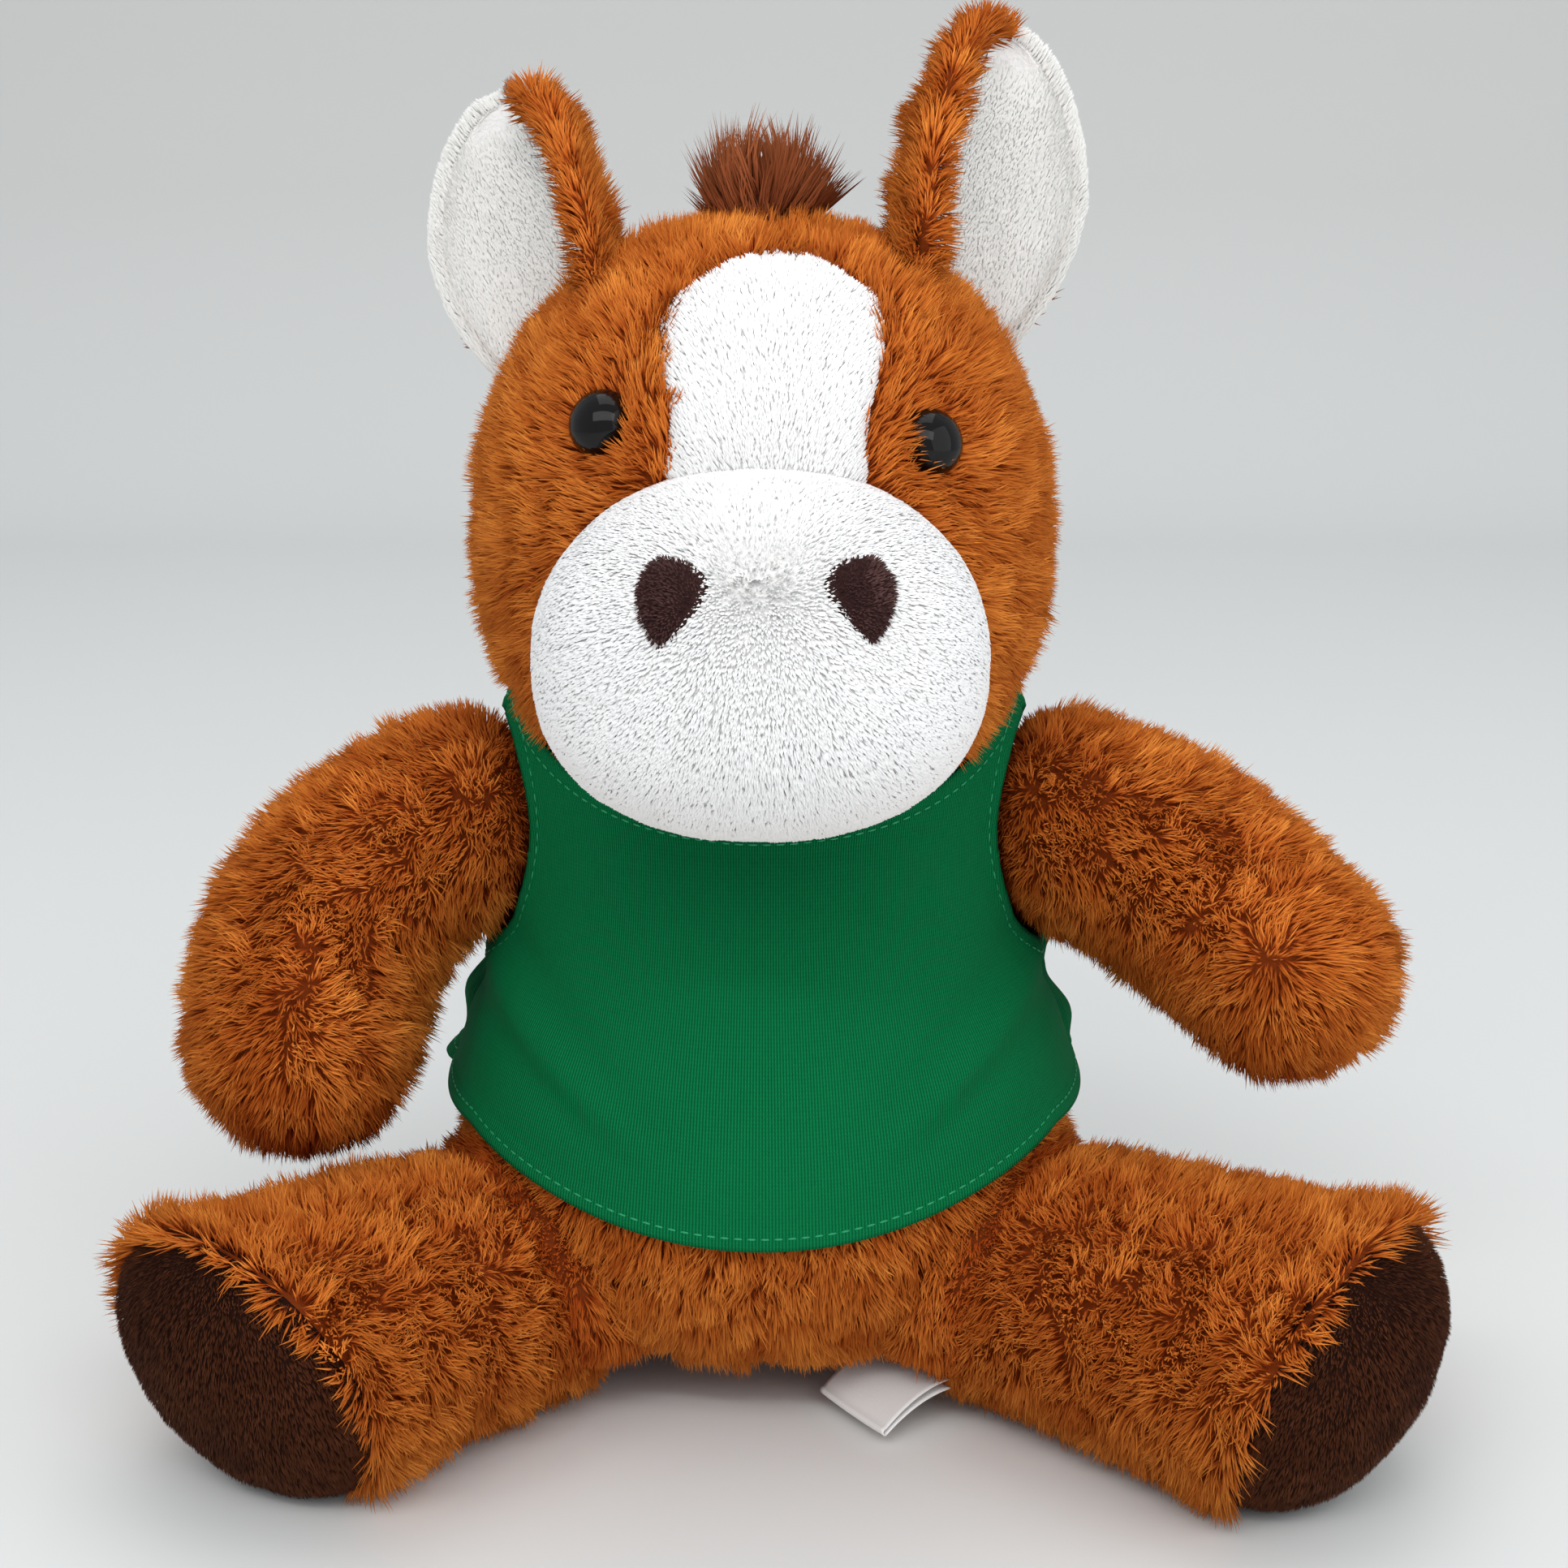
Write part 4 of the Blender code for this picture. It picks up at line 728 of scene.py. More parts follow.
def headKeep(points):
    # The blaze is measured on the envelope, out beyond the strands' roots
    outer = points + unit(points - headCentre) * headLook["pileDepth"]
    offMiddle = np.abs(outer[:, 0] - blazeMiddle(outer[:, 2])) > blazeWidth(outer[:, 2]) + 0.3
    ahead = points[:, 1] < headCentre[1]
    onBlaze = ~offMiddle & ahead & (outer[:, 2] > blazeLow - 14)
    mane = (np.abs(points[:, 0]) < 3.6) & (points[:, 2] > 172) & (points[:, 1] > -11)
    clear = (muzzleLevel(points, -1.5) > 1) & (torsoLevel(points, 1.0) > 1)
    return ~onBlaze & ~mane & (fromEyes(points) >= headLook["clearEye"]) & clear


def headLonger(points):
    # Shorter round the eyes and along a parting over the crown
    parting = np.exp(-(((points[:, 0] - 2.0) / 0.9) ** 2)) * (points[:, 2] > 192)
    return 1 - 0.25 * np.exp(-((fromEyes(points) / 7.0) ** 2)) - 0.25 * parting


headPile = pile("head_pile", "head", furBrown, headSkin, plushLook, headComb, headKeep, headLonger, 11)
print("Head done")

# Blaze: a velour panel let into the front of the head

blazeRise = np.linspace(0, 1, 60)[:, None]
blazeAcross = np.linspace(-1, 1, 41)[None]
blazeZ = blazeLow - 12 + blazeRise * (blazeHeight + 12) + 0 * blazeAcross
blazeWide = blazeWidth(np.clip(blazeZ, blazeLow, blazeLow + blazeHeight))
blazeX = blazeMiddle(blazeZ) + blazeAcross * np.maximum(blazeWide, 0.15)
blazeY = headCentre[1] - np.sqrt(np.clip(headRadius(blazeZ) ** 2 - blazeX**2, 0, None))
blazePoints = np.stack([blazeX, blazeY, blazeZ], 2).reshape(-1, 3)
blazeQuads = gridFaces(60, 41)
blazeTris = triangles(blazeQuads)
blazeSurface = shell(blazePoints, blazeTris)
if blazeSurface[2][:, 1].mean() > 0:
    blazeSurface = (blazePoints, blazeTris[:, ::-1], -blazeSurface[2])
    blazeQuads = blazeQuads[:, ::-1]
# Its edges go down into the seam
blazeSunk = 0.9 + 2.3 * np.maximum(np.abs(blazeAcross) ** 9, blazeRise**26).reshape(-1, 1)
blazeBase = blazePoints - blazeSurface[2] * blazeSunk
blazeSolid = thickened(blazeBase, blazeQuads, blazeSurface[2], 1.4)
blazePiece = addPiece("blaze_panel", "head", backWhite, *blazeSolid)
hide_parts("blaze")


def blazeComb(points, normals):
    # Up the face, and a little outwards from the blaze's middle
    return np.stack([(points[:, 0] - 2) * 0.05, 0.3 + 0 * points[:, 1], 0.8 + 0 * points[:, 2]], 1)


blazePile = pile(
    "blaze_pile", "head", pileWhite, (blazeBase, *blazeSurface[1:]), velourLook | {"length": 2.1, "lean": 2.8},
    blazeComb, lambda points: muzzleLevel(points, -1.0) > 1, None, 12,
)

# Muzzle

muzzleLook = {"pileDepth": 0.9, "inHead": 4.5}
muzzleEnvelope = muzzleForm()
muzzleSkin = inflated(muzzleEnvelope, -muzzleLook["pileDepth"])
padded("muzzle_skin", "head", backWhite, muzzleSkin, 0.95, ("muzzle_cover", "muzzle_stuffing"), "white_velour")

nostrilLook = {
    "spread": 15.8, "shift": 1.0, "rise": 14.6, "inner": 7.2, "outer": 3.0, "halfHeight": 6.8,
    "power": 0.72, "high": 0.3, "pile": {"length": 1.1, "perSquare": 8.0, "width": 0.32, "lean": 1.0},
}


def nostrilFrame(sign):
    # A nostril's place on the muzzle, the muzzle's normal there, and the ways across and up
    power = muzzleSize["power"]
    out = sign * nostrilLook["spread"] + nostrilLook["shift"]
    share = np.array((out, 0.0, nostrilLook["rise"])) / muzzleHalf
    share[1] = -((1 - (np.abs(share) ** power).sum()) ** (1 / power))
    normal = unit(np.sign(share) * np.abs(share) ** (power - 1) / muzzleHalf)
    over = unit(np.cross(normal, (1.0, 0.0, 0.0)))
    return muzzleCentre + share * muzzleHalf, normal, np.cross(over, normal), over


def leafWidth(tall, inner):
    # Half a leaf between two points, which bulges most towards the muzzle's middle and above its own middle
    reach = np.where(inner, nostrilLook["inner"], nostrilLook["outer"])
    return reach * (1 - tall**2) ** nostrilLook["power"] * (1 + nostrilLook["high"] * tall)


def nostrilShare(points, sign):
    # Below 1 inside the leaf
    place, _, across, over = nostrilFrame(sign)
    x, z = (points - place) @ across, (points - place) @ over
    tall = np.clip(z / nostrilLook["halfHeight"], -1, 1)
    return np.abs(x) / np.maximum(leafWidth(tall, x * sign < 0), 0.01)


def muzzleComb(points, normals):
    # The short pile lies down and back over the muzzle
    return np.stack([0.02 * points[:, 0], 0.5 + 0 * points[:, 1], -0.6 + 0 * points[:, 2]], 1)


def muzzleKeep(points):
    # Neither under a nostril's patch nor inside the head
    clear = (nostrilShare(points, -1) > 0.9) & (nostrilShare(points, 1) > 0.9)
    rise = points[:, 2] - headCentre[2]
    reach = headRadius(points[:, 2]) - muzzleLook["inHead"]
    inHead = np.hypot(points[:, 0], points[:, 1] - headCentre[1]) < reach
    return clear & ~(inHead & (np.abs(rise) < headSize["radius"]))


def muzzleLonger(points):
    # The lower front is a little rougher, as if stroked
    low = (points - muzzleCentre - (2.0, -34.0, -11.0)) / np.array((19.0, 16.0, 9.0))
    return 1 + 0.7 * np.exp(-(low**2).sum(1))


muzzlePile = pile(
    "muzzle_pile", "head", pileWhite, muzzleSkin, velourLook, muzzleComb, muzzleKeep, muzzleLonger, 13
)

for side, sign in sides.items():
    place, normal, across, over = nostrilFrame(sign)
    radial = np.linspace(0.0, 1.0, 12)[:, None]
    turn = np.linspace(0, 2 * math.pi, 48, endpoint=False)[None]
    wide = np.sign(np.cos(turn)) * leafWidth(np.sin(turn), np.cos(turn) * sign < 0) * radial
    tall = np.sin(turn) * radial * nostrilLook["halfHeight"]
    flat = place + wide[..., None] * across + tall[..., None] * over
    # Dropped onto the muzzle along the nostril's own normal by a few steps of a root search
    low, high = np.full(flat.shape[:2], -6.0), np.full(flat.shape[:2], 3.0)
    for _ in range(24):
        half = (low + high) / 2
        inside = muzzleLevel((flat + half[..., None] * normal).reshape(-1, 3)).reshape(half.shape) < 1
        low, high = np.where(inside, half, low), np.where(inside, high, half)
    crown = 0.9 * (1 - radial**4) - 0.5 * np.exp(-((radial * 2.6) ** 2)) + 0 * turn
    front = flat + (low - 0.6 + crown)[..., None] * normal
    back = flat + (low - 2.2 + 0 * crown)[..., None] * normal
    nostril = lathe(front[0].mean(0), np.concatenate([front[1:], back[:0:-1]]), back[0].mean(0))
    piece = addPiece(f"nostril_patch_{side}", "head", backNostril, nostril[0], nostril[1])
    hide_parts(f"nostril_{side}")
    grown = pile(
        f"nostril_pile_{side}", "head", pileNostril, nostril, velourLook | nostrilLook["pile"], muzzleComb,
        lambda points: (muzzleLevel(points, -1.2) > 1) & (nostrilShare(points, sign) < 0.88), None, 14,
    )
print("Muzzle done")

# Eyes: glossy domes, near black, clouded a little

eyeShade = Shade("EyeGloss", Roughness=0.05, Specular_IOR_Level=0.30, IOR=1.45)
eyeCloud = eyeShade.noise(eyeShade.objectPlace(), 420.0, 3.0)
eyeShade.set("Base Color", eyeShade.mix(eyeCloud, (0.0015, 0.0015, 0.002), (0.005, 0.004, 0.004)))
eyeShade.set("Roughness", eyeCloud * 0.05 + 0.03)
for side in sides:
    place, facing = eyeAxis(side)
    seat = place - facing * eyeLook["sunk"]
    base = seat - facing * eyeLook["base"]
    radius, rim, dome = eyeLook["radius"], eyeLook["rim"], eyeLook["dome"]
    turn = np.linspace(0, 2 * math.pi, 64, endpoint=False)
    rings = [ringAt(base, facing, eyeLook["baseRadius"], turn, up), ringAt(seat, facing, radius, turn, up)]
    for angle in np.linspace(0.0, math.pi / 2 - 0.08, 18):
        lifted = seat + facing * (rim + dome * math.sin(angle))
        rings.append(ringAt(lifted, facing, radius * math.cos(angle), turn, up))
    eye = lathe(base, np.array(rings), seat + facing * (rim + dome))
    piece = addPiece(f"eye_dome_{side}", "head", eyeShade.material, eye[0], eye[1])
    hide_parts(f"eye_{side}")
print("Eyes done")

# Mane: a low ridge over the crown with long dark pile

maneLook = plushLook | {
    "perSquare": 5.4, "length": 17.0, "width": 0.38, "lean": 0.40, "sway": 0.20, "stray": 0.07,
    "tuft": 5.0, "lock": 2.0, "vary": 0.36, "gather": (0.42, 0.50), "bent": True, "most": 4.0,
}
maneHeights = (0.80, 1.00, 0.78, 0.56, 0.50, 0.46, 0.40)  # from the brow to the back of the head
maneBrow, maneEnd, maneRings = 91, 172, 46
bend = np.radians(np.linspace(maneBrow, maneEnd, maneRings))
out = np.stack([0 * bend, -np.cos(bend), np.sin(bend)], 1)
crest = headCentre + out * headHalf
tall = smoothRows(maneHeights, np.linspace(0, 6, maneRings))[:, 0]
turn = np.linspace(0, 2 * math.pi, 24, endpoint=False)
ridge = crest[:, None] + (3.7 * np.cos(turn))[None, :, None] * np.array((1.0, 0, 0))
ridge = ridge + (tall[:, None] * 6.2 * np.sin(turn)[None] - 2.0)[..., None] * out[:, None]
maneSkin = lathe(ridge[0].mean(0) + (0, -1.5, 0), ridge, ridge[-1].mean(0) - (0, 0, 1.5))
padded("mane_skin", "head", backDark, maneSkin, 0.5, ("mane",), "dark_plush")


def crestAngle(points):
    # The turn over the crown, from the face at 0
    away = (points - headCentre) / headHalf
    return np.arctan2(away[:, 2], -away[:, 1])


def maneComb(points, normals):
    # Out from the head, forwards over the brow and backwards behind it, with a parting in the middle
    angle = crestAngle(points)
    lean = np.where(angle < math.radians(104), -0.25, 0.7)
    along = np.stack([0 * angle, np.sin(angle), np.cos(angle)], 1)
    apart = np.clip(points[:, 0] * 0.12, -0.3, 0.3)
    return along * lean[:, None] + np.stack([apart, -np.cos(angle) * 3.0, np.sin(angle) * 3.0], 1)


def maneLonger(points):
    parting = 1 - 0.5 * np.exp(-((points[:, 0] / 0.8) ** 2))
    return np.interp(np.degrees(crestAngle(points)), np.linspace(maneBrow, maneEnd, 7), maneHeights) * parting


manePile = pile(
    "mane_pile", "head", furDark, maneSkin, maneLook, maneComb,
    lambda points: np.linalg.norm((points - headCentre) / headHalf, axis=1) > 0.95, maneLonger, 15,
)
print("Mane done")

# Ears: a brown back and a white lining, cupped about the ear's length

# Each ear's root on the head, its lean, the way its lining faces, and its share of the length
earTable = {
    "right": ((-0.59, 0.14, 0.77), (-0.36, 0.22, 0.90), (-0.66, -0.74, 0.12), 0.91),
    "left": ((0.57, 0.14, 0.90), (0.26, 0.10, 0.96), (0.66, -0.75, 0.06), 0.97),
}
earLook = {
    "length": 44.0, "rootDepth": 7.5, "halfWidth": 19.4, "liningInner": 0.78, "rimRadius": 1.3,
    "ridge": {"right": 2.8, "left": 4.0}, "hollow": {"right": 1.6, "left": 3.4},
    "brownEnd": {"right": 0.40, "left": 0.56},
}
earRows, earColumns = 49, 41
rimSteps, rimAround = 201, 9
rimStops = (0, 0.42, 0.58, 1)
for side, (rootShare, lean, liningWay, longer) in earTable.items():
    along = unit(np.array(lean))
    facing = unit(np.array(liningWay) - along * along.dot(liningWay))
    across = np.cross(along, facing)
    root = headCentre + np.array(rootShare) * headSize["radius"]
    inner = -sides[side]
    body = f"ear_{side}"

    def earSurface(u, v):
        # Places on the ear, the way they face, and the way round the cup
        wide = earLook["halfWidth"] * (0.80 + 0.34 * np.sin(np.pi * u**0.8))
        wide = wide * np.sqrt(np.clip(1.05 - u**5, 0, 1))
        turnBy = np.radians(92 - 40 * u)
        radius = (wide / turnBy)[..., None]
        deep = earLook["rootDepth"]
        height = (u * (earLook["length"] * longer + deep) - deep)[..., None]
        angle = (v * turnBy)[..., None]
        place = root + height * along + radius * (np.sin(angle) * across + (1 - np.cos(angle)) * facing)
        inward = np.cos(angle) * facing - np.sin(angle) * across
        tangent = np.cos(angle) * across + np.sin(angle) * facing
        return place.reshape(-1, 3), inward.reshape(-1, 3), tangent.reshape(-1, 3)

    def upEar(points, normals):
        return np.tile(along * 0.8, (len(points), 1))

    u = np.linspace(0, 1, earRows)[:, None] + np.zeros((1, earColumns))
    v = np.linspace(-1, 1, earColumns)[None] + np.zeros((earRows, 1))
    quads = gridFaces(earRows, earColumns)
    tris = triangles(quads)
    points, inward, _ = earSurface(u, v)
    if (faceCross(points, tris) * inward[tris[:, 0]]).sum() < 0:
        quads, tris = quads[:, ::-1], tris[:, ::-1]

    # The lining stops short of the inner rim, and folds over beside it
    place, liningInward, tangent = earSurface(u, np.where(v * inner > 0, v * earLook["liningInner"], v))
    edge = (np.maximum(np.abs(v), 2 * u - 1) ** 6).reshape(-1, 1)
    fromInner = (v * inner).reshape(-1, 1)
    swell = np.sin(np.pi * np.clip(u * 0.9 + 0.05, 0, 1)).reshape(-1, 1)
    ridge = earLook["ridge"][side] * np.exp(-(((fromInner - 0.64) / 0.20) ** 2)) * swell
    hollow = earLook["hollow"][side] * np.exp(-(((fromInner - 0.10) / 0.27) ** 2))
    hollow = hollow * (1 - u.reshape(-1, 1) ** 3) * swell
    place = place + liningInward * (1.0 - 0.5 * edge + ridge - hollow)
    normals = shell(place, tris)[2]
    normals = normals * np.sign((normals * liningInward).sum(1).mean())
    lining = thickened(place, quads, normals, 0.8)
    piece = addPiece(f"ear_lining_cloth_{side}", body, backWhite, *lining)
    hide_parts(f"ear_lining_{side}")
    backPoints, backInward, _ = earSurface(u * 0.985, v * 0.96)
    # The back follows the lining's hollow
    sunk = np.clip(hollow - 0.6, 0, None) * 1.1
    backPoints = backPoints - backInward * (1.9 - 0.7 * edge + sunk)
    backing = thickened(backPoints, quads[:, ::-1], -backInward, 0.9)
    piece = addPiece(f"ear_back_cloth_{side}", body, backBrown, *backing)
    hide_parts(f"ear_back_{side}")

    def outsideHead(points):
        return np.linalg.norm((points - headCentre) / (headHalf - up), axis=1) > 0.96

    # At its rim the lining's pile turns outwards over the edge
    rimWay = np.sign(v).reshape(-1, 1) * np.abs(v).reshape(-1, 1) ** 6 * tangent
    rimWay = rimWay + np.clip(2 * u - 1, 0, 1).reshape(-1, 1) ** 6 * along
    turned = unit(normals + rimWay * 1.8)
    grown = pile(
        f"ear_lining_pile_{side}", body, pileEarShaded, (place, tris, turned), velourLook | {"length": 1.7},
        upEar, outsideHead, None, 16,
    )

    def toInner(points):
        # From 0 at the ear's outer side to 1 at its inner side
        return np.clip(0.5 + inner * ((points - root) @ across) / 14, 0, 1)[:, None]

    def nearRoot(points):
        return np.exp(-((((points - root) @ along) / 7.0) ** 2))

    def backComb(points, normals):
        share = toInner(points)
        outside = across * inner * (0.4 * share - nearRoot(points)[:, None] * (1 - share))
        return along * (0.9 - 0.2 * share) + facing * (1.3 * share - 0.5) + outside

    def backLonger(points):
        return np.maximum(0.34 + 0.7 * toInner(points)[:, 0], nearRoot(points) * 0.9)

    grown = pile(
        f"ear_back_pile_{side}", body, furBrown, (points - inward * (1.2 + sunk), tris[:, ::-1], -inward),
        plushLook, backComb, outsideHead, backLonger, 17,
    )
    # The back's pile also stands in front of the rim, beside the lining and over its tip
    margin = (v * inner > earLook["liningInner"] * 0.90).reshape(-1)
    front = (points + inward * 0.1, tris[margin[tris].all(1)], unit(inward * 0.7 + tangent * inner))
    grown += pile(
        f"ear_front_pile_{side}", body, furBrown, front, plushLook | {"length": 5.0},
        upEar, outsideHead, None, 18,
    )
    # Round the rim: brown up the inner side and over part of the tip, white down the outer side
    t = np.linspace(0, 1, rimSteps)
    rimV = np.interp(t, rimStops, (1, 1, -1, -1)) * inner
    place, rimInward, _ = earSurface(np.interp(t, rimStops, (0, 1, 1, 0)), rimV)
    rimOut = unit(np.cross(np.gradient(place, axis=0), rimInward))
    rimOut *= np.sign((rimOut * (place - place.mean(0))).sum())
    turn = np.linspace(-0.2, math.pi + 0.2, rimAround)[None, :, None]
    rimNormal = np.cos(turn) * rimInward[:, None] + np.sin(turn) * rimOut[:, None]
    rimPoints = ((place - rimInward * 0.8)[:, None] + rimNormal * earLook["rimRadius"]).reshape(-1, 3)
    rimNormal = rimNormal.reshape(-1, 3)
    rimQuads = gridFaces(rimSteps, rimAround)
    if (faceCross(rimPoints, rimQuads) * rimNormal[rimQuads[:, 0]]).sum() < 0:
        rimQuads = rimQuads[:, ::-1]
    brownQuads = rimQuads.min(1) // rimAround < earLook["brownEnd"][side] * (rimSteps - 1)
    for part, quadsOf, cloth, slot in (
        ("back", rimQuads[brownQuads], backBrown, "brown_plush"),
        ("lining", rimQuads[~brownQuads], backWhite, "white_velour"),
    ):
        used, where = np.unique(quadsOf, return_inverse=True)
        band = thickened(rimPoints[used], where.reshape(quadsOf.shape), rimNormal[used], 0.5)
        addPiece(f"ear_{part}_binding_{side}", body, cloth, *band)
    rimTris = triangles(rimQuads)
    isBrown = np.concatenate([brownQuads, brownQuads])
    grown += pile(
        f"ear_rim_pile_{side}", body, furBrown, (rimPoints, rimTris[isBrown], rimNormal),
        plushLook | {"length": 5.6, "perSquare": 6.0}, upEar, outsideHead, None, 19,
    )
    edgeNormal = unit(rimNormal + np.repeat(rimInward, rimAround, 0) * 0.9)
    grown = pile(
        f"ear_edge_pile_{side}", body, pileEarShaded, (rimPoints, rimTris[~isBrown], edgeNormal),
        velourLook | {"length": 2.3, "perSquare": 9.0},
        lambda points, normals: np.tile(along * 0.8 + facing * 0.5, (len(points), 1)), outsideHead, None, 20,
    )
print("Ears done")

# Arms

limbPileDepth = 4.0
armForms = {side: armForm(side) for side in sides}
legForms = {side: legForm(side, legSize["cuffRadius"]) for side in sides}
# Where the pile turns round a point on each paw, and how strongly
armWhorls = {"right": ((-79.5, -48.0, 80.0), 0.5), "left": ((85.4, -45.0, 86.5), 1.3)}

for side, (form, centres, tangents, radii) in armForms.items():
    skin = inflated(form, -limbPileDepth)
    solids = (f"arm_cover_{side}", f"arm_stuffing_{side}")
    padded(f"arm_skin_{side}", f"arm_{side}", backBrown, skin, 0.75, solids, "brown_plush")
    whorl, force = armWhorls[side]

    def armComb(points, normals):
        # Down the arm, and outwards round the whorl on the paw
        flow = alongTube(points, centres, tangents) + np.array((0, 0, -0.25))
        away = points - whorl
        far = np.linalg.norm(away, axis=1)[:, None]
        near = np.exp(-((far / 16.0) ** 2))
        return unit(flow) * (1 - near) * 0.8 + unit(away) * near * np.clip(far / 5, 0, 1) * force

    def armKeep(points):
        return torsoLevel(points, 0.5) > 1

    def armLonger(points):
        # Short beside the armhole's edge
        return 1 - 0.5 * np.exp(-((np.maximum(torsoLevel(points) - 1, 0) / 0.16) ** 2))

    grown = pile(
        f"arm_pile_{side}", f"arm_{side}", furBrown, skin, plushLook,
        armComb, armKeep, armLonger, 21 + sides[side],
    )
print("Arms done")

# Legs and soles

soleLook = {"radius": 26.8, "inner": 25.7, "wall": 1.2, "sunk": 1.0, "round": 0.92}
hoofLook = velourLook | {
    "length": 1.9, "perSquare": 4.8, "width": 0.31, "lean": 0.8, "gather": (0.03, 0.14), "shine": 0.2,
}
for side, (form, centres, tangents, radii) in legForms.items():
    hip, along, sole, facing, dome = legAxes(side)
    skin = inflated(form, -limbPileDepth)
    skin = (aboveFloor(skin[0], 0.6), *skin[1:])
    solids = (f"leg_cover_{side}", f"leg_stuffing_{side}")
    padded(f"leg_skin_{side}", f"leg_{side}", backBrown, skin, 0.75, solids, "brown_plush")

    def legComb(points, normals):
        # Down the leg; at the cuff the pile stands up round the sole
        cuff = np.clip(((points - sole) @ facing + 12) / 12, 0, 1)[:, None]
        flow = unit(alongTube(points, centres, tangents) + np.array((0, 0, 0.1)))
        return flow * (0.6 - 0.1 * cuff) + up * 0.15 * cuff

    def legKeep(points):
        behindSole = (points - sole) @ facing < 2.2
        return behindSole & (torsoLevel(points, -10.0) > 1) & (points[:, 2] > 0.8)

    def legLonger(points):
        # Longest at the cuff, and short in the crease where the leg meets the torso
        crease = np.exp(-((np.maximum(torsoLevel(points) - 1, 0) / 0.15) ** 2))
        return 1 + 0.2 * np.clip(((points - sole) @ facing + 10) / 10, 0, 1) - 0.65 * crease

    grown = pile(
        f"leg_pile_{side}", f"leg_{side}", furBrown, skin, plushLook,
        legComb, legKeep, legLonger, 31 + sides[side],
    )

    turn = np.linspace(0, 2 * math.pi, 72, endpoint=False)
    front, back = [], []
    top, wall = dome - soleLook["sunk"], soleLook["wall"]
    for angle in np.linspace(0.0, math.pi / 2 - 0.06, 26):
        place = sole + facing * top * math.sin(angle)
        share = math.cos(angle) ** soleLook["round"]
        front.append(ringAt(place, facing, soleLook["radius"] * share, turn, up))
        back.append(ringAt(place - facing * wall, facing, soleLook["inner"] * share, turn, up))
    cap = lathe(sole + facing * (top - wall), np.concatenate([back[::-1], front]), sole + facing * top)
    piece = addPiece(f"sole_cloth_{side}", f"leg_{side}", backHoof, aboveFloor(cap[0], 0.3), cap[1])
    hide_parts(f"sole_{side}")
    outer = lathe(sole, np.array(front), sole + facing * top)

    def soleComb(points, normals):
        return np.tile((-0.6 * sides[side], -0.1, -1.0), (len(points), 1))

    def soleKeep(points):
        return ((points - sole) @ facing > 1.6) & (points[:, 2] > 0.5)

    grown = pile(f"sole_pile_{side}", f"leg_{side}", pileHoof, outer, hoofLook, soleComb, soleKeep, None, 41)
print("Legs done")

# Torso under the shirt

torsoEnvelope = torsoForm()
torsoSkin = inflated(torsoEnvelope, -limbPileDepth)
torsoPoints = torsoSkin[0]
# The skin is pressed in where the arms, the legs and the head sit in it
pressed = [(shoulders[side], 21.5) for side in sides] + [(legAxes(side)[0], 24.9) for side in sides]
for centre, radius in (*pressed, (headCentre, headSize["radius"])):
    away = torsoPoints - centre
    far = np.linalg.norm(away, axis=1, keepdims=True)
    torsoPoints = np.where(far < radius, centre + away / far * radius, torsoPoints)
# The front of the seat curves up off the floor between the legs
ahead = np.clip((-torsoPoints[:, 1] - 12) / 26, 0, 1)
torsoPoints[:, 2] += 8.0 * np.exp(-((np.maximum(torsoPoints[:, 2], 0) / 11) ** 2)) * ahead**2 * (3 - 2 * ahead)
torsoSkin = shell(aboveFloor(torsoPoints, 0.6), torsoSkin[1])
padded("torso_skin", "body", backBrown, torsoSkin, 0.8, ("torso_cover", "torso_stuffing"), "brown_plush")


def torsoComb(points, normals):
    return np.tile((0.0, 0.0, -1.0), (len(points), 1)) + normals * 0


hemLook = {"height": 42.0, "rise": 10.8, "spread": 50.0}


def hemRise(x):
    # The hem rises from its middle by the square of the way out
    return hemLook["rise"] * np.clip(np.abs(x) / hemLook["spread"], 0, 1) ** 2


def hemHeight(x):
    return hemLook["height"] + hemRise(x)


def legGap(points):
    return np.min([tubeGap(points, legForms[side][1], legForms[side][3]) for side in sides], 0)


def torsoKeep(points):
    # Below the hem, beside the legs and off the floor
    return (points[:, 2] < hemHeight(points[:, 0]) + 4) & (legGap(points) > -5.5) & (points[:, 2] > 1.0)


def torsoLonger(points):
    # Shorter along the middle seam, under the shirt and beside the legs
    under = np.clip((points[:, 2] - (hemLook["height"] - 1.0) - hemRise(points[:, 0])) / 4.0, 0, 1)
    crease = 0.65 * np.exp(-((np.maximum(legGap(points) + 4, 0) / 3.0) ** 2))
    return (1 - 0.4 * np.exp(-((points[:, 0] / 1.1) ** 2))) * (1 - 0.6 * under) * (1 - crease)


torsoPile = pile("torso_pile", "body", furBrown, torsoSkin, plushLook, torsoComb, torsoKeep, torsoLonger, 51)
print("Torso done")

# Tail

tailLook = {"back": 49.0, "height": 29.0, "reach": 21.0, "drop": 16.0, "radius": 9.5, "pileDepth": 5.0}
